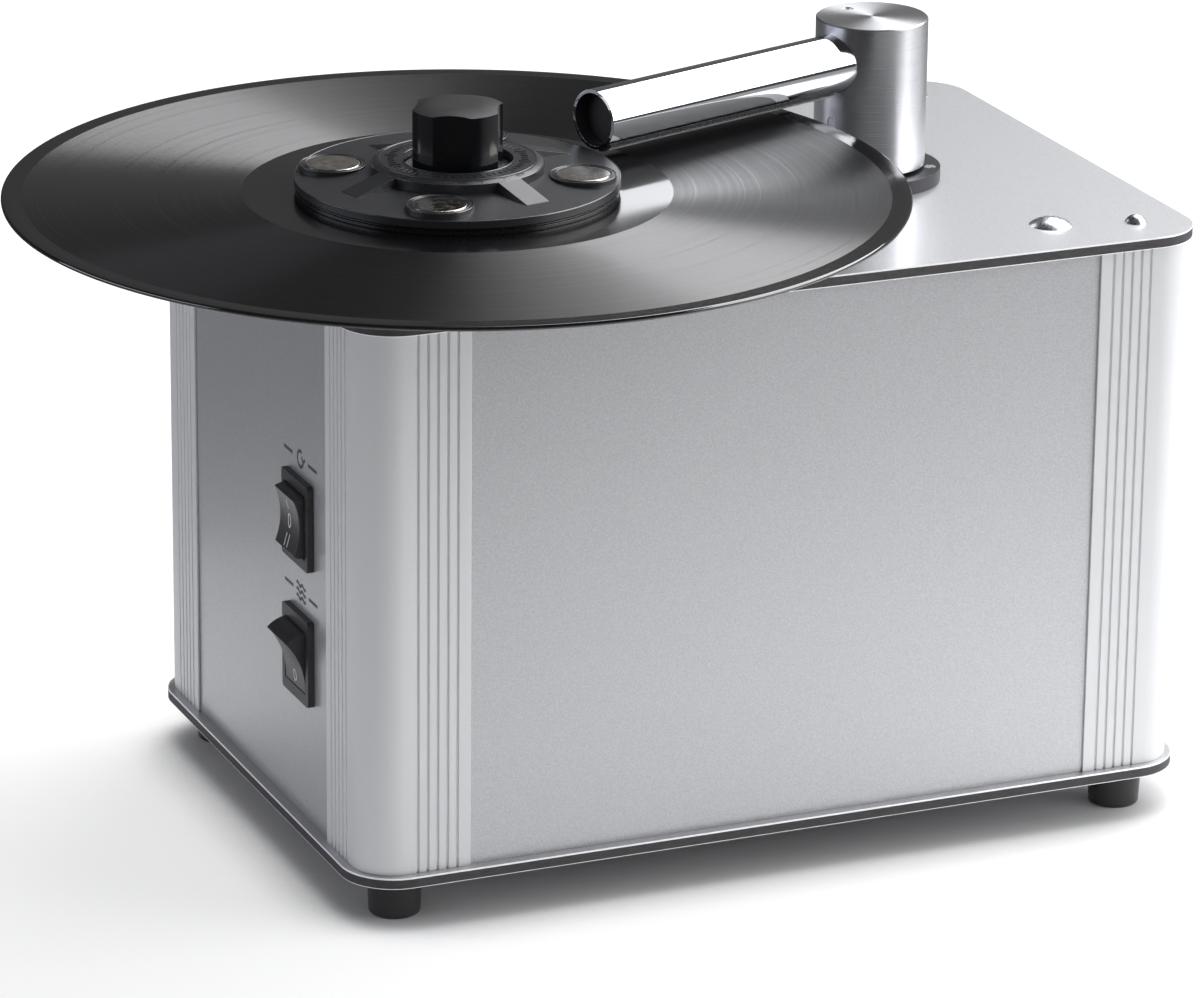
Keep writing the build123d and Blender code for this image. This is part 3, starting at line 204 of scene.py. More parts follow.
# Cut edge of an aluminium skin, deburred: bare bright metal. It also covers the plates' rounded edges, where
# its near-white colour is a painted highlight line
material, tree, shader = newMaterial("bareSkinEdgeAndPaintedHighlight", "FAFAFB", Metallic=0.35, Roughness=0.36)
addGrain(tree, shader, objectPoint(tree), 0.6, ("F6F6F8", "FDFDFE"), (0.3, 0.42), 0.003)
materials["skinEdge"] = material

# Natural rubber, moulded: dull black with a fine skin
material, tree, shader = newMaterial("mouldedRubber", "1E1E1F", Roughness=0.55, IOR=1.52)
addGrain(tree, shader, objectPoint(tree), 0.5, ("101011", "1A1A1B"), (0.42, 0.6), 0.006)
materials["rubber"] = material

# Rubber of the clamp's gasket, moulded in a polished tool: glossy black
material, tree, shader = newMaterial("polishedMouldRubber", "131314", Roughness=0.26, IOR=1.52)
addGrain(tree, shader, objectPoint(tree), 0.5, ("0F0F10", "18181A"), (0.2, 0.32), 0.002)
materials["gasketRubber"] = material

# Steel screws, bright zinc plated: cool mirror with slight unevenness
material, tree, shader = newMaterial("zincPlatedSteel", "DDE0E4", Metallic=1.0, Roughness=0.2)
addGrain(tree, shader, objectPoint(tree), 1.1, ("C9CFD8", "E6E8EA"), (0.24, 0.34), 0.006)
materials["steel_screw"] = material

# ABS switch housings and nylon rockers, moulded with a spark-eroded grain
material, tree, shader = newMaterial("sparkGrainedAbs", "2A2A2C", Roughness=0.42, IOR=1.54)
addGrain(tree, shader, objectPoint(tree), 0.32, ("242426", "333335"), (0.34, 0.5), 0.012)
materials["switch_plastic"] = material
material, tree, shader = newMaterial("satinNylonRocker", "2E2E30", Roughness=0.34, IOR=1.53)
addGrain(tree, shader, objectPoint(tree), 0.4, ("29292B", "353537"), (0.28, 0.4), 0.006)
materials["rocker_plastic"] = material

# Pad-printed pale grey ink on the rockers: flat and even, so the marks read at a glance
material, tree, shader = newMaterial("printedMark", "C9CACC", Roughness=0.5, IOR=1.5)
addGrain(tree, shader, objectPoint(tree), 0.4, ("BDBEC0", "D2D3D4"), (0.45, 0.6))
materials["mark"] = material

# Screen-printed black ink on the panel: dull against the satin lacquer
material, tree, shader = newMaterial("screenPrintInk", "3B3B3E", Roughness=0.48, IOR=1.5)
addGrain(tree, shader, objectPoint(tree), 0.4, ("343437", "454548"), (0.4, 0.55))
materials["ink"] = material

# Turned brass fittings, left bare: warm yellow metal with soft lines round it
material, tree, shader = newMaterial("turnedBrass", "C9A45C", Metallic=1.0, Roughness=0.28)
addGrain(tree, shader, objectPoint(tree, stretch=(1, 1, 20)), 0.6, ("BC9650", "D2AE68"), (0.2, 0.34), 0.004)
materials["brass"] = material

# Ground steel for shafts, brackets and the bush: cool and bright with fine lengthwise lines
material, tree, shader = newMaterial("groundSteel", "C3C5C8", Metallic=1.0, Roughness=0.2)
addGrain(tree, shader, objectPoint(tree, stretch=(1, 1, 8)), 0.5, ("B4B6BA", "CECFD2"), (0.14, 0.26), 0.003)
materials["steel"] = material

# Die-cast zinc cans of the motors, left as cast: dull grey and faintly pitted
material, tree, shader = newMaterial("castZinc", "9A9C9E", Metallic=1.0, Roughness=0.5)
addGrain(tree, shader, objectPoint(tree), 1.2, ("8B8D90", "A8AAAC"), (0.42, 0.6), 0.03)
materials["cast_zinc"] = material

# Cast and turned aluminium of the platter, coupling and bearing housing: soft grey sheen
material, tree, shader = newMaterial("platterAluminium", "AEB0B3", Metallic=1.0, Roughness=0.38)
addGrain(tree, shader, objectPoint(tree, stretch=(3, 3, 1)), 0.6, ("A0A2A5", "BBBDBF"), (0.3, 0.44), 0.006)
materials["platter_metal"] = material

# Pressed wool felt of the platter mat: matt, with fibres that catch the light at its edge
material, tree, shader = newMaterial(
    "pressedFelt", "2B2B2D", Roughness=0.92, Sheen_Weight=0.4, Sheen_Roughness=0.5
)
addGrain(tree, shader, objectPoint(tree), 0.5, ("202022", "39393B"), (0.85, 0.98), 0.12, 6.0)
materials["felt"] = material

# Uncoated paper label, left plain: matt cream
material, tree, shader = newMaterial("labelPaper", "C9C2B4", Roughness=0.7, IOR=1.5)
addGrain(tree, shader, objectPoint(tree), 0.7, ("C1BAAB", "D0C9BC"), (0.62, 0.78), 0.01)
materials["paper"] = material

# Glass-filled nylon of the clamp, moulded: satin charcoal with a cool sheen
material, tree, shader = newMaterial("glassFilledNylon", "232427", Roughness=0.4, IOR=1.53)
addGrain(tree, shader, objectPoint(tree), 0.45, ("1F2023", "292A2D"), (0.28, 0.38), 0.005)
materials["clamp_plastic"] = material

# The same nylon on the clamp's edge beads and scale, glossier and painted a little lighter: a painted highlight
# that makes thin bright lines along the edges
material, tree, shader = newMaterial(
    "glossyNylonEdgeHighlight", "2A2B2E", Roughness=0.18, IOR=1.53, Specular_IOR_Level=1.0
)
addGrain(tree, shader, objectPoint(tree), 0.45, ("262729", "303134"), (0.14, 0.22), 0.001)
materials["clampEdge"] = material

# Nickel-plated steel discs set in the clamp: warm grey mirror
material, tree, shader = newMaterial("nickelPlate", "C9C3BA", Metallic=1.0, Roughness=0.2)
addGrain(tree, shader, objectPoint(tree), 2.2, ("BFB9B0", "D2CCC4"), (0.14, 0.26), 0.003)
materials["nickel"] = material

# Phenolic knob: its sides are polished, and its crown keeps the satin of the mould
knobGloss = {"sides": 0.15, "crown": 0.46, "from": (0.35, 0.6)}
material, tree, shader = newMaterial("phenolicKnob", "0E0F11", Roughness=0.2, IOR=1.5)
addGrain(tree, shader, objectPoint(tree), 0.5, ("0B0C0E", "141517"), None, 0.004)
facing = addNode(tree, "ShaderNodeSeparateXYZ", {0: addNode(tree, "ShaderNodeTexCoord").outputs["Normal"]})
crown = addNode(
    tree, "ShaderNodeMapRange",
    {0: facing.outputs["Z"], 1: knobGloss["from"][0], 2: knobGloss["from"][1],
     3: knobGloss["sides"], 4: knobGloss["crown"]},
)
tree.links.new(crown.outputs[0], shader.inputs["Roughness"])
materials["knob_plastic"] = material

# Aluminium flange, black anodised: charcoal with a soft metallic sheen
material, tree, shader = newMaterial("blackAnodisedAluminium", "353537", Metallic=0.6, Roughness=0.36)
addGrain(tree, shader, objectPoint(tree), 0.4, ("2E2E30", "3D3D40"), (0.3, 0.42), 0.004)
materials["black_metal"] = material

# Aluminium post turned on a lathe and left bright: feed lines run round it, so light spreads across them
turned = {"feed": 0.14, "rough": (0.27, 0.34), "depth": 0.0008}
material, tree, shader = newMaterial(
    "turnedAluminium", "D6D7DA", Metallic=1.0, Roughness=0.3, Anisotropic=0.75
)
point = objectPoint(tree, post, (400, 400, 1))
addGrain(tree, shader, point, turned["feed"], None, turned["rough"], turned["depth"], 3.0)
outward = outwardFrom(tree, post)
around = addNode(
    tree, "ShaderNodeVectorMath", {0: (0, 0, 1), 1: outward}, operation="CROSS_PRODUCT"
).outputs[0]
trueNormal = addNode(tree, "ShaderNodeNewGeometry").outputs["True Normal"]
across = addNode(
    tree, "ShaderNodeVectorMath", {0: trueNormal, 1: around}, operation="CROSS_PRODUCT"
).outputs[0]
tree.links.new(across, shader.inputs["Tangent"])
materials["turned_aluminium"] = material

# Chromed brass tube, polished: a sharp mirror of the room, a little darker than silver
material, tree, shader = newMaterial("polishedChrome", "C6C8CA", Metallic=1.0, Roughness=0.04)
addGrain(tree, shader, objectPoint(tree), 14.0, None, (0.02, 0.07))
materials["chrome"] = material

# Velvet pads: short upright pile that turns light at grazing angles
material, tree, shader = newMaterial(
    "blackVelvet", "141415", Roughness=0.95, Sheen_Weight=1.0, Sheen_Roughness=0.35
)
addGrain(tree, shader, objectPoint(tree), 0.35, ("0C0C0D", "212123"), (0.85, 1.0), 0.15, 5.0)
materials["velvet"] = material

# Polypropylene tank, moulded: milky grey-white with a waxy sheen
material, tree, shader = newMaterial("naturalPolypropylene", "C8CACA", Roughness=0.46, IOR=1.49)
addGrain(tree, shader, objectPoint(tree), 1.5, ("C0C2C2", "CFD1D1"), (0.4, 0.52), 0.02)
materials["tank_plastic"] = material

# Black polyamide of the turbine, moulded: near-black with a dull grain
material, tree, shader = newMaterial("turbinePolyamide", "2B2C2E", Roughness=0.5, IOR=1.53)
addGrain(tree, shader, objectPoint(tree), 0.9, ("252628", "333436"), (0.42, 0.58), 0.02)
materials["fan_plastic"] = material

# Glass-epoxy circuit board under green lacquer, woven cloth faintly showing
material, tree, shader = newMaterial("glassEpoxyBoard", "1F5B3A", Roughness=0.35, IOR=1.55)
addGrain(tree, shader, objectPoint(tree), 0.8, ("1A5234", "246541"), (0.28, 0.42), 0.01)
materials["board"] = material

# Pressed vinyl: grooves run round the spindle, so light spreads across them and stays narrow along them.
# Real grooves lie about 0.1 mm apart, and are drawn coarser so that they show
vinyl = {
    "land": "0D0D0F",
    "groove": 0.22,
    "tilt": 0.2,
    "rough": (0.1, 0.4),
    "band": 1.6,
    "playing": (71.6, 144.0),
    "gaps": (79.0, 95.2, 100.4, 113.6, 132.3, 138.9),
    "gapWidth": 0.4,
    "gapDepth": 0.35,
}


def vinylMaterial(values):
    material, tree, shader = newMaterial(
        "pressedVinyl", values["land"], Roughness=0.4, IOR=1.6, Anisotropic=1.0,
        Specular_IOR_Level=1.0,
    )
    point = objectPoint(tree, spindle)
    radius = radiusOf(tree, point)
    outward = outwardFrom(tree, spindle)
    tree.links.new(outward, shader.inputs["Tangent"])
    # The played band, less the smooth gaps between its tracks
    low, high = (edge * mm for edge in values["playing"])
    inside = addNode(tree, "ShaderNodeMath", {0: radius, 1: low}, operation="GREATER_THAN").outputs[0]
    outside = addNode(tree, "ShaderNodeMath", {0: radius, 1: high}, operation="LESS_THAN").outputs[0]
    played = addNode(tree, "ShaderNodeMath", {0: inside, 1: outside}, operation="MULTIPLY").outputs[0]
    for gap in values["gaps"]:
        near = addNode(
            tree, "ShaderNodeMath", {0: radius, 1: gap * mm, 2: values["gapWidth"] / 2 * mm},
            operation="COMPARE",
        ).outputs[0]
        away = addNode(
            tree, "ShaderNodeMath", {0: near, 1: -values["gapDepth"], 2: 1.0},
            operation="MULTIPLY_ADD",
        ).outputs[0]
        played = addNode(
            tree, "ShaderNodeMath", {0: played, 1: away}, operation="MULTIPLY"
        ).outputs[0]
    # Groove walls lean in and out by turns; each ring leans by its own amount
    rings = addNode(tree, "ShaderNodeCombineXYZ", {0: radius})
    lean = addNode(
        tree, "ShaderNodeTexNoise",
        {"Vector": rings.outputs[0], "Scale": 1 / (values["groove"] * mm), "Detail": 4.0, "Roughness": 0.7},
    ).outputs["Fac"]
    centred = addNode(
        tree, "ShaderNodeMapRange", {0: lean, 1: 0.25, 2: 0.75, 3: -values["tilt"], 4: values["tilt"]}
    ).outputs[0]
    amount = addNode(
        tree, "ShaderNodeMath", {0: centred, 1: played}, operation="MULTIPLY"
    ).outputs[0]
    push = addNode(tree, "ShaderNodeVectorMath", {0: outward}, operation="SCALE")
    tree.links.new(amount, push.inputs["Scale"])
    normal = addNode(tree, "ShaderNodeNewGeometry").outputs["Normal"]
    leaned = addNode(tree, "ShaderNodeVectorMath", {0: normal, 1: push.outputs[0]}, operation="ADD")
    facing = addNode(tree, "ShaderNodeVectorMath", {0: leaned.outputs[0]}, operation="NORMALIZE")
    tree.links.new(facing.outputs[0], shader.inputs["Normal"])
    loud = addNode(
        tree, "ShaderNodeTexNoise",
        {"Vector": rings.outputs[0], "Scale": 1 / (values["band"] * mm), "Detail": 3.0},
    ).outputs["Fac"]
    cut = addNode(tree, "ShaderNodeMapRange", {0: loud, 1: 0.3, 2: 0.7, 3: 0.8, 4: 1.1}).outputs[0]
    groove = addNode(tree, "ShaderNodeMath", {0: played, 1: cut}, operation="MULTIPLY").outputs[0]
    smooth, grooved = values["rough"]
    rough = addNode(tree, "ShaderNodeMapRange", {0: groove, 3: smooth, 4: grooved})
    tree.links.new(rough.outputs[0], shader.inputs["Roughness"])
    return material


materials["vinyl"] = vinylMaterial(vinyl)
print(f"{len(materials)} materials ready")

# Light: one long softbox at the right, a cooler fill low at the left, and a plain room
lampValues = {
    "keyRight": {
        "azimuth": -4, "elevation": 39.6, "distance": 1.5, "size": (3.6, 1.2), "roll": 27.5,
        "radiance": 5.1, "colour": "FDFDFF",
    },
    "fillLeft": {
        "azimuth": 164, "elevation": 12, "distance": 2.4, "size": (2.2, 1.0), "roll": 0,
        "radiance": 2.2, "colour": "E8EBFA",
    },
}
roomValues = {
    "plain": 0.4, "dark": 0.05, "spill": 0.26, "spillToward": (0.866, 0.5, 0.0), "spillPower": 4.0,
    "backdrop": 1.0,
}


def addLamp(name, values):
    turn, rise = math.radians(values["azimuth"]), math.radians(values["elevation"])
    toward = Vector((math.cos(turn) * math.cos(rise), math.sin(turn) * math.cos(rise), math.sin(rise)))
    lamp = bpy.data.lights.new(name, "AREA")
    lamp.shape = "RECTANGLE"
    lamp.size, lamp.size_y = values["size"]
    lamp.color = linearColour(values["colour"])[:3]
    lamp.energy = values["radiance"] * math.pi * lamp.size * lamp.size_y
    piece = bpy.data.objects.new(name, lamp)
    bpy.context.scene.collection.objects.link(piece)
    piece.location = Vector((0, 0, 0.2)) + toward * values["distance"]
    roll = Quaternion((0, 0, 1), math.radians(values["roll"]))
    piece.rotation_euler = (toward.to_track_quat("Z", "Y") @ roll).to_euler()
    piece.visible_camera = False


for lampName, values in lampValues.items():
    addLamp(lampName, values)


def addRoom(values):
    # Plain light on the object; the camera sees a white backdrop, and gloss sees it fall off with height
    world = bpy.data.worlds.new("room")
    bpy.context.scene.world = world
    world.use_nodes = True
    tree = world.node_tree
    tree.nodes.clear()
    rays = addNode(tree, "ShaderNodeLightPath")
    direction = addNode(tree, "ShaderNodeTexCoord").outputs["Generated"]
    toward = addNode(
        tree, "ShaderNodeVectorMath", {0: direction, 1: values["spillToward"]}, operation="DOT_PRODUCT"
    ).outputs["Value"]
    facing = addNode(tree, "ShaderNodeMath", {0: toward, 1: 0.0}, operation="MAXIMUM").outputs[0]
    spread = addNode(tree, "ShaderNodeMath", {0: facing, 1: values["spillPower"]}, operation="POWER").outputs[0]
    fall = addNode(
        tree, "ShaderNodeMath", {0: spread, 1: values["spill"], 2: values["dark"]}, operation="MULTIPLY_ADD"
    ).outputs[0]
    mirrored = addNode(
        tree, "ShaderNodeMath",
        {0: rays.outputs["Is Glossy Ray"], 1: rays.outputs["Is Transmission Ray"]}, operation="MAXIMUM",
    ).outputs[0]
    indirect = addNode(tree, "ShaderNodeMix", {0: mirrored, 2: values["plain"], 3: fall}).outputs[0]
    strength = addNode(
        tree, "ShaderNodeMix", {0: rays.outputs["Is Camera Ray"], 2: indirect, 3: values["backdrop"]}
    ).outputs[0]
    light = addNode(tree, "ShaderNodeBackground", {"Color": (1, 1, 1, 1), "Strength": strength})
    addNode(tree, "ShaderNodeOutputWorld", {"Surface": light.outputs[0]})


addRoom(roomValues)

floorValues = {
    "size": 9.0,
    "colour": "F4F4F4",
    "pool": (200.0, -60.0, 0.0),
    "poolStretch": (0.9, 0.6, 1.0),
    "fade": (0.3, 1.15),
    "dim": 0.2,
    "rearEdge": (0.35, 0.39),
    "rearToward": (-0.707, 0.707, 0.0),
    "rearDim": 0.54,
    "contact": 0.05,
    "clear": (0.42, 0.84),
    "glow": 0.62,
    "shade": 0.5,
}


def addFloor(values):
    # A pale table; in metal its colour carries a painted pool of light near the machine, fading into painted
    # dark towards the room
    mesh = bmesh.new()
    bmesh.ops.create_grid(mesh, x_segments=1, y_segments=1, size=values["size"] / 2)
    data = bpy.data.meshes.new("floor")
    mesh.to_mesh(data)
    mesh.free()
    floor = bpy.data.objects.new("floor", data)
    bpy.context.scene.collection.objects.link(floor)
    material, tree, shader = newMaterial("paleTable", values["colour"], Roughness=0.9, IOR=1.3)
    rays = addNode(tree, "ShaderNodeLightPath")
    reach = radiusOf(tree, objectPoint(tree, values["pool"], values["poolStretch"]))
    low, high = values["fade"]
    # Seen in metal the floor's colour is painted: a pool of light round the machine that dims with distance
    near = addNode(
        tree, "ShaderNodeMapRange", {0: reach, 1: low, 2: high, 3: 1.0, 4: values["dim"]},
        interpolation_type="SMOOTHSTEP",
    ).outputs[0]
    # Past a rear edge, where the table ends, the colour seen in metal is painted darker still: painted shade
    # for the unlit room
    behind = addNode(
        tree, "ShaderNodeVectorMath", {0: objectPoint(tree), 1: values["rearToward"]}, operation="DOT_PRODUCT"
    ).outputs["Value"]
    low, high = values["rearEdge"]
    table = addNode(
        tree, "ShaderNodeMapRange", {0: behind, 1: low, 2: high, 3: 1.0, 4: values["rearDim"]},
        interpolation_type="SMOOTHSTEP",
    ).outputs[0]
    fade = addNode(tree, "ShaderNodeMath", {0: near, 1: table}, operation="MULTIPLY").outputs[0]
    mirrored = addNode(tree, "ShaderNodeMix", {0: rays.outputs["Is Glossy Ray"], 2: 1.0, 3: fade}).outputs[0]
    shaded = addNode(
        tree, "ShaderNodeMix", {0: rays.outputs["Is Camera Ray"], 2: mirrored, 3: values["shade"]}
    ).outputs[0]
    colour = addNode(tree, "ShaderNodeMix", {0: 1.0}, data_type="RGBA", blend_type="MULTIPLY")
    colour.inputs[6].default_value = linearColour(values["colour"])
    tree.links.new(shaded, colour.inputs[7])
    tree.links.new(colour.outputs[2], shader.inputs["Base Color"])
    # What the camera sees is lifted to white by a glow, save where the machine stands close over it: there the
    # glow dims with ambient occlusion, a painted contact shadow
    openness = addNode(
        tree, "ShaderNodeAmbientOcclusion", {"Distance": values["contact"]}, samples=16
    ).outputs["AO"]
    clear = addNode(
        tree, "ShaderNodeMapRange",
        {0: openness, 1: values["clear"][0], 2: values["clear"][1], 3: 0.0, 4: values["glow"]},
        interpolation_type="SMOOTHSTEP",
    ).outputs[0]
    glow = addNode(
        tree, "ShaderNodeMath", {0: rays.outputs["Is Camera Ray"], 1: clear}, operation="MULTIPLY"
    )
    extra = addNode(tree, "ShaderNodeEmission", {"Color": (1, 1, 1, 1), "Strength": glow.outputs[0]})
    both = addNode(tree, "ShaderNodeAddShader", {0: shader.outputs[0], 1: extra.outputs[0]})
    output = next(node for node in tree.nodes if node.type == "OUTPUT_MATERIAL")
    tree.links.new(both.outputs[0], output.inputs["Surface"])
    data.materials.append(material)


addFloor(floorValues)
print("light and floor ready")


def makePiece(name, mesh, materialList, body, replaced=(), sharp=50):
    data = bpy.data.meshes.new(name)
    mesh.to_mesh(data)
    mesh.free()
    for material in materialList:
        data.materials.append(material)
    data.shade_smooth()
    data.set_sharp_from_angle(angle=math.radians(sharp))
    piece = bpy.data.objects.new(name, data)
    bpy.context.scene.collection.objects.link(piece)
    weighted = piece.modifiers.new("even shading", "WEIGHTED_NORMAL")
    weighted.keep_sharp = True
    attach(piece, body)
    if replaced:
        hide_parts(*replaced)
    return piece


def copyOf(nodeName):
    # The node's solid as whole faces: doubles merged and flat triangles joined
    mesh = bmesh.new()
    mesh.from_mesh(nodes[nodeName].data)
    bmesh.ops.remove_doubles(mesh, verts=mesh.verts, dist=0.002 * mm)
    bmesh.ops.dissolve_limit(
        mesh, angle_limit=math.radians(0.6), use_dissolve_boundaries=False,
        verts=mesh.verts, edges=mesh.edges, delimit={"NORMAL"},
    )
    return mesh


def easeEdges(mesh, width, segments=2, fromAngle=32, above=-1.0):
    # Round the sharp edges that reach higher than above, by width mm
    sharp = [
        edge for edge in mesh.edges
        if len(edge.link_faces) == 2 and edge.calc_face_angle(0) > math.radians(fromAngle)
        and max(vert.co.z for vert in edge.verts) > above
    ]
    bmesh.ops.bevel(
        mesh, geom=sharp, offset=width * mm, offset_type="OFFSET", affect="EDGES",
        segments=segments, profile=0.5, material=-1, clamp_overlap=True,
    )


# Pieces that keep the node's shape and get eased edges: node, body, slot, edge in mm
easedPieces = (
    ("front_left_extrusion", "case", "anodised", 0.22),
    ("front_right_extrusion", "case", "anodised", 0.22),
    ("rear_left_extrusion", "case", "anodised", 0.22),
    ("rear_right_extrusion", "case", "anodised", 0.22),
    ("front_panel", "case", "panel", 0.15),
    ("rear_panel", "case", "panel", 0.15),
    ("left_panel", "case", "panel", 0.15),
    ("right_panel", "case", "panel", 0.15),
    ("motor_switch_housing", "case", "switch_plastic", 0.35),
    ("vacuum_switch_housing", "case", "switch_plastic", 0.35),
    ("motor_rocker", "motor_rocker", "rocker_plastic", 0.3),
    ("vacuum_rocker", "vacuum_rocker", "rocker_plastic", 0.3),
    ("mains_inlet", "case", "switch_plastic", 0.3),
    ("clamp_disc", "clamp", "clamp_plastic", 0.4),
    ("clamp_gasket", "clamp", "gasketRubber", 0.25),
    ("clamp_inserts", "clamp", "nickel", 0.55),
    ("clamp_bush", "knob", "steel", 0.2),
    ("clamp_knob", "knob", "knob_plastic", 0.5),
    ("post_flange", "case", "black_metal", 0.3),
    ("arm_post", "arm", "turned_aluminium", 0.25),
    ("suction_tube", "arm", "chrome", 0.15),
    ("tube_plug", "arm", "rubber", 0.2),
    ("platter", "platter", "platter_metal", 0.3),
    ("platter_mat", "platter", "felt", 0.4),
    ("drain_spout", "case", "brass", 0.2),
    ("drain_stopper", "stopper", "rubber", 0.3),
    ("velvet_pads", "arm", "velvet", 0.3),
    ("rubber_feet", "case", "rubber", 0.5),
    ("turbine_mount", "case", "rubber", 0.4),
    ("suction_hose", "case", "rubber", 0.3),
    ("link_hose", "case", "rubber", 0.3),
)
for nodeName, body, slotName, width in easedPieces:
    mesh = copyOf(nodeName)
    easeEdges(mesh, width)
    makePiece(nodeName + "Eased", mesh, [materials[slotName]], body, (nodeName,))
print("eased pieces ready")

# The plates: two thin lacquered skins on a dark core
plateValues = {
    "skin": 0.6, "underSkin": 0.28, "edge": 0.55, "underEdge": 0.12, "topPart": 1.0, "flat": 0.985
}
for nodeName in ("top_plate", "bottom_plate"):
    low, high = (corner.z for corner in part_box(nodeName))
    mesh = copyOf(nodeName)
    easeEdges(mesh, plateValues["edge"], 3, above=low + plateValues["topPart"] * mm)
    easeEdges(mesh, plateValues["underEdge"], 1)
    coreLow, coreHigh = low + plateValues["underSkin"] * mm, high - plateValues["skin"] * mm
    for height in (coreLow, coreHigh):
        bmesh.ops.bisect_plane(
            mesh, geom=mesh.verts[:] + mesh.edges[:] + mesh.faces[:],
            plane_co=(0, 0, height), plane_no=(0, 0, 1), dist=1e-7,
        )
    mesh.normal_update()
    # Faces outside the core that are not flat take the near-white edge finish: bare cut skin, and on the
    # rounded edges a painted highlight line
    for face in mesh.faces:
        middle = face.calc_center_median().z
        if coreLow < middle < coreHigh:
            face.material_index = 1
        elif abs(face.normal.z) < plateValues["flat"]:
            face.material_index = 2
    finishes = [materials["composite"], materials["core"], materials["skinEdge"]]
    makePiece(nodeName + "Skinned", mesh, finishes, "case", (nodeName,))


def latheMesh(centre, profile, steps=180):
    # Turn (radius, height) points in mm about an upright axis
    mesh = bmesh.new()
    ring = [mesh.verts.new(((centre[0] + r) * mm, centre[1] * mm, z * mm)) for r, z in profile]
    edges = [mesh.edges.new((a, b)) for a, b in zip(ring, ring[1:] + ring[:1])]
    bmesh.ops.spin(
        mesh, geom=ring + edges, cent=(centre[0] * mm, centre[1] * mm, 0), axis=(0, 0, 1),
        angle=2 * math.pi, steps=steps, use_merge=True,
    )
    bmesh.ops.remove_doubles(mesh, verts=mesh.verts, dist=0.001 * mm)
    bmesh.ops.recalc_face_normals(mesh, faces=mesh.faces)
    return mesh


recordLow, recordHigh = (corner.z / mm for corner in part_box("record"))
recordValues = {
    "rim": 150.8, "bead": 0.75, "shoulder": 147.6, "leadIn": 144.0, "label": 50.0, "dip": 0.12,
    "hole": 3.63,
}


def recordProfile(values):
    # One side from the hole outwards, the round rim, and the same back underneath
    top = [
        (values["hole"], 0.15),
        (values["label"], 0.15),
        (values["label"] + 0.1, 0.02),
        (values["label"] + 0.6, 0.0),
        (values["label"] + 4.0, 0.0),
        (values["label"] + 5.0, values["dip"]),
        (values["leadIn"], values["dip"]),
        (values["shoulder"] - 0.8, 0.02),
        (values["shoulder"], 0.0),
    ]
    upper = [(r, recordHigh - depth) for r, depth in top]
    lower = [(r, recordLow + depth) for r, depth in reversed(top)]
    middle, start = (recordLow + recordHigh) / 2, values["rim"] - values["bead"]
    half = (recordHigh - recordLow) / 2
    rim = []
    for i in range(9):
        angle = math.radians(90 - 22.5 * i)
        rim.append((start + values["bead"] * math.cos(angle), middle + half * math.sin(angle)))
    return upper + rim + lower


mesh = latheMesh(spindle, recordProfile(recordValues), 300)
makePiece("pressedRecord", mesh, [materials["vinyl"]], "platter", ("record",))
print("plates and record ready")


def strokeMesh(strokes, width, thickness, place):
    # Round strokes drawn flat in mm as (points, closed), made mesh, flattened and set on a face by place
    flat = bpy.data.curves.new("strokes", "CURVE")
    flat.dimensions = "3D"
    flat.bevel_depth = width / 2
    flat.bevel_resolution = 1
    flat.use_fill_caps = True
    for points, closed in strokes:
        line = flat.splines.new("POLY")
        line.points.add(len(points) - 1)
        for point, (u, w) in zip(line.points, points):
            point.co = (u, w, 0, 1)
        line.use_cyclic_u = closed
    holder = bpy.data.objects.new("strokes", flat)
    made = bpy.data.meshes.new_from_object(holder)
    bpy.data.objects.remove(holder)
    bpy.data.curves.remove(flat)
    mesh = bmesh.new()
    mesh.from_mesh(made)
    bpy.data.meshes.remove(made)
    for vert in mesh.verts:
        u, w, lift = vert.co
        vert.co = Vector(place(u, w, lift / (width / 2) * thickness)) * mm
    bmesh.ops.recalc_face_normals(mesh, faces=mesh.faces)
    return mesh


def arcPoints(radius, start, end, count, centre=(0, 0)):
    turns = (math.radians(start + (end - start) * i / count) for i in range(count + 1))
    return [(centre[0] + radius * math.cos(t), centre[1] + radius * math.sin(t)) for t in turns]


def ovalPoints(halfWidth, halfHeight, middle=0.0):
    turns = (math.radians(turn) for turn in range(0, 360, 20))
    return [(halfWidth * math.cos(t), middle + halfHeight * math.sin(t)) for t in turns]


# Marks on the rockers: I, O and II for the motor's two ways, O for the vacuum
rockerMarks = {
    "pivot": -153.7,
    "faceCentre": -182.4,
    "faceRadius": 25.8,
    "middle": -39.5,
    "stroke": 0.52,
    "proud": 0.06,
}
rockerLines = {
    "motor_rocker": (127.2, 0, [
        ([(0, 4.4), (0, 7.8)], False),
        (ovalPoints(1.15, 2.4), True),
        ([(-1.3, -9.0), (-1.3, -4.6)], False),
        ([(1.3, -9.0), (1.3, -4.6)], False),
    ]),
    "vacuum_rocker": (78.5, 20, [
        (ovalPoints(1.25, 1.9, -6.5), True),
    ]),
}
for nodeName, (height, tilt, strokes) in rockerLines.items():
    lean = math.radians(tilt)

    def onRocker(u, w, lift, values=rockerMarks, lean=lean, height=height):
        x = values["faceCentre"] + math.sqrt(values["faceRadius"] ** 2 - w * w) - lift - values["pivot"]
        return (
            values["pivot"] + x * math.cos(lean) - w * math.sin(lean),
            values["middle"] - u,
            height + x * math.sin(lean) + w * math.cos(lean),
        )

    mesh = strokeMesh(strokes, rockerMarks["stroke"], rockerMarks["proud"], onRocker)
    makePiece(nodeName + "Marks", mesh, [materials["mark"]], nodeName, ())

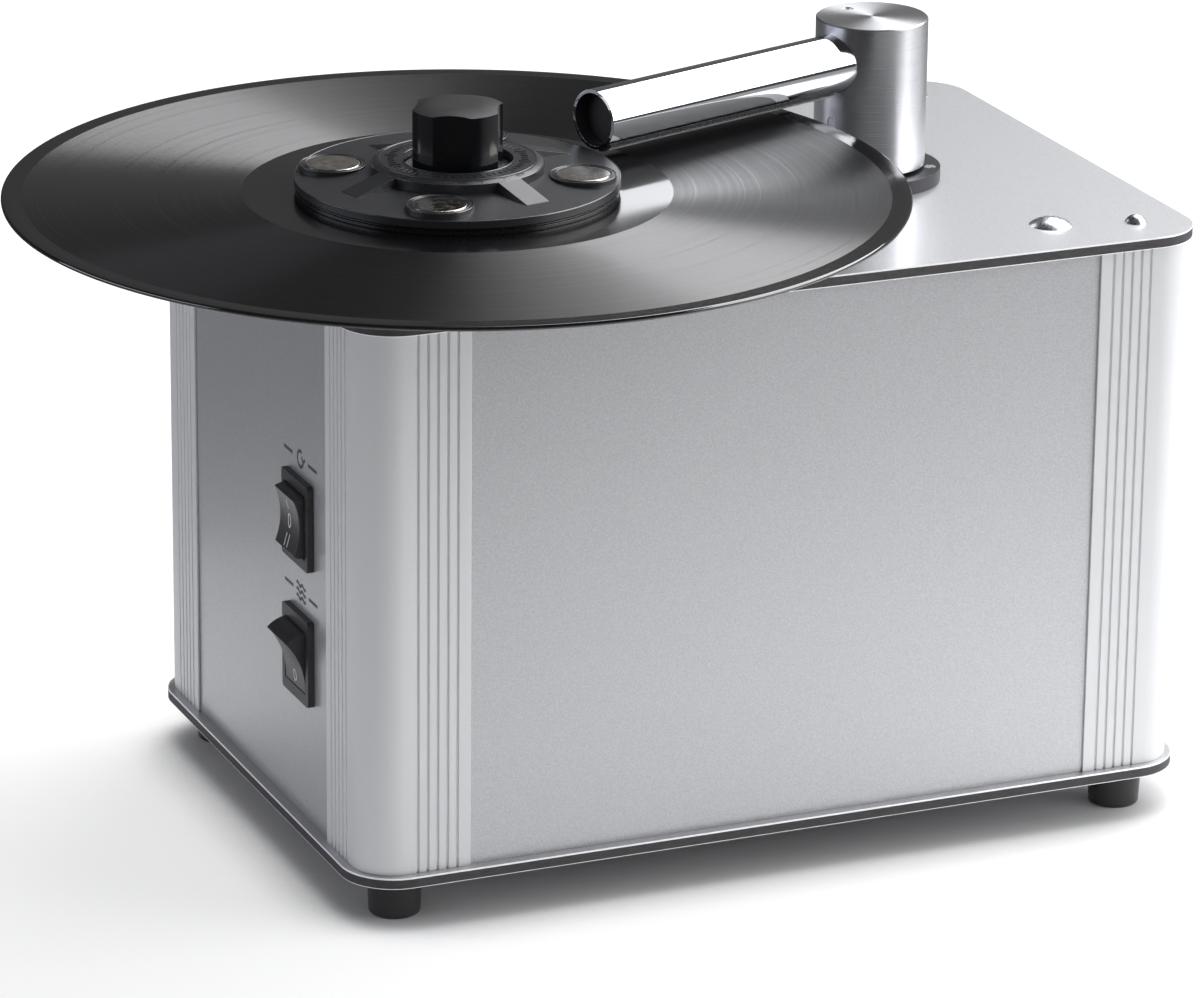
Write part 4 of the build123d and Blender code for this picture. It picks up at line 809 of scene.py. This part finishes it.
# Printed signs over the switches: a turning arrow and lines of moving air, each between two dashes
signs = {
    "face": -152.6,
    "middle": -39.5,
    "stroke": 1.25,
    "proud": 0.03,
    "dash": (7.5, 16.0),
    "turning": 148.75,
    "air": 100.75,
}
dashes = [([(side * end, 0) for end in signs["dash"]], False) for side in (-1, 1)]
arrow = [
    (arcPoints(2.8, 60, 345, 24), False),
    ([(1.1, 1.0), (2.75, -0.5), (4.5, 0.8)], False),
]
air = [
    ([(-4.4 + 0.37 * i, row + 0.5 * math.sin(i * math.pi / 6)) for i in range(25)], False)
    for row in (-2.3, 0, 2.3)
]
for name, strokes, height in (("turningSign", arrow, signs["turning"]), ("airSign", air, signs["air"])):
    mesh = strokeMesh(
        strokes + dashes, signs["stroke"], signs["proud"],
        lambda u, w, lift, height=height: (signs["face"] - lift, signs["middle"] - u, height + w),
    )
    makePiece(name, mesh, [materials["ink"]], "case", ())

# Raised scale on the clamp's ring, beads round its edges and each disc's seat, ribs on the gasket
clampValues = {
    "ringTop": 257.36,
    "tick": ((21.2, 23.4), (20.4, 24.4)),
    "tickWidth": 0.5,
    "tickHeight": 0.22,
    "count": 60,
    "discs": 4,
    "discTurn": 60.4,
    "discCircle": 41.8,
    "beads": ((9.75, 0.2, 253.66), (11.0, 0.25, 253.62)),
    "edges": ((53.95, 0.28, 251.5), (28.6, 0.25, 256.25), (26.1, 0.22, 257.3), (18.6, 0.22, 257.3)),
    "ribs": ((53.25, 0.3, 248.35), (53.6, 0.25, 247.8)),
}
# The scale, the seat beads and the edge beads all take the lighter glossy edge nylon, a painted highlight along
# the clamp's edges
mesh = bmesh.new()
for turn in range(clampValues["count"]):
    inner, outer = clampValues["tick"][turn % 5 == 0]
    size = Matrix.Diagonal(
        ((outer - inner) * mm, clampValues["tickWidth"] * mm, 2 * clampValues["tickHeight"] * mm, 1)
    )
    spot = Matrix.Translation(((inner + outer) / 2 * mm, 0, clampValues["ringTop"] * mm))
    spin = Matrix.Rotation(math.radians(360 / clampValues["count"] * turn), 4, "Z")
    place = Matrix.Translation(Vector(spindle) * mm) @ spin @ spot @ size
    bmesh.ops.create_cube(mesh, size=1, matrix=place)
makePiece("clampScale", mesh, [materials["clampEdge"]], "clamp", ())


def ringMesh(centre, radius, section, height, steps, sides=10):
    # A round bead: a small circle turned about an upright axis
    return latheMesh(centre, [
        (radius + section * math.cos(math.tau * i / sides), height + section * math.sin(math.tau * i / sides))
        for i in range(sides)
    ], steps)


def joined(meshes):
    # Several meshes as one
    whole = bmesh.new()
    for part in meshes:
        held = bpy.data.meshes.new("held")
        part.to_mesh(held)
        part.free()
        whole.from_mesh(held)
        bpy.data.meshes.remove(held)
    return whole


seats = []
for turn in range(clampValues["discs"]):
    around = math.radians(clampValues["discTurn"] + 360 / clampValues["discs"] * turn)
    centre = (
        spindle[0] + clampValues["discCircle"] * math.cos(around),
        spindle[1] + clampValues["discCircle"] * math.sin(around),
    )
    seats += [ringMesh(centre, *bead, 64) for bead in clampValues["beads"]]
makePiece("seatBeads", joined(seats), [materials["clampEdge"]], "clamp", ())
edges = [ringMesh(spindle, *edge, 180) for edge in clampValues["edges"]]
makePiece("clampEdges", joined(edges), [materials["clampEdge"]], "clamp", ())
ribs = [ringMesh(spindle, *rib, 180) for rib in clampValues["ribs"]]
makePiece("gasketRibs", joined(ribs), [materials["gasketRubber"]], "clamp", ())
print("marks, signs and scale ready")

# Nodes that keep their own mesh take the finish of their slot
slotOfNode = {}
for entry in frame["record"].get("materials", []):
    for nodeName in entry.get("nodes", entry.get("parts", [])):
        slotOfNode[nodeName] = entry.get("slot")
for nodeName, node in nodes.items():
    current = node.material_slots[0].material.name.split(".")[0] if node.material_slots else ""
    slotName = slotOfNode.get(nodeName, current)
    for place in node.material_slots:
        place.material = materials[slotName]
print("nodes dressed")
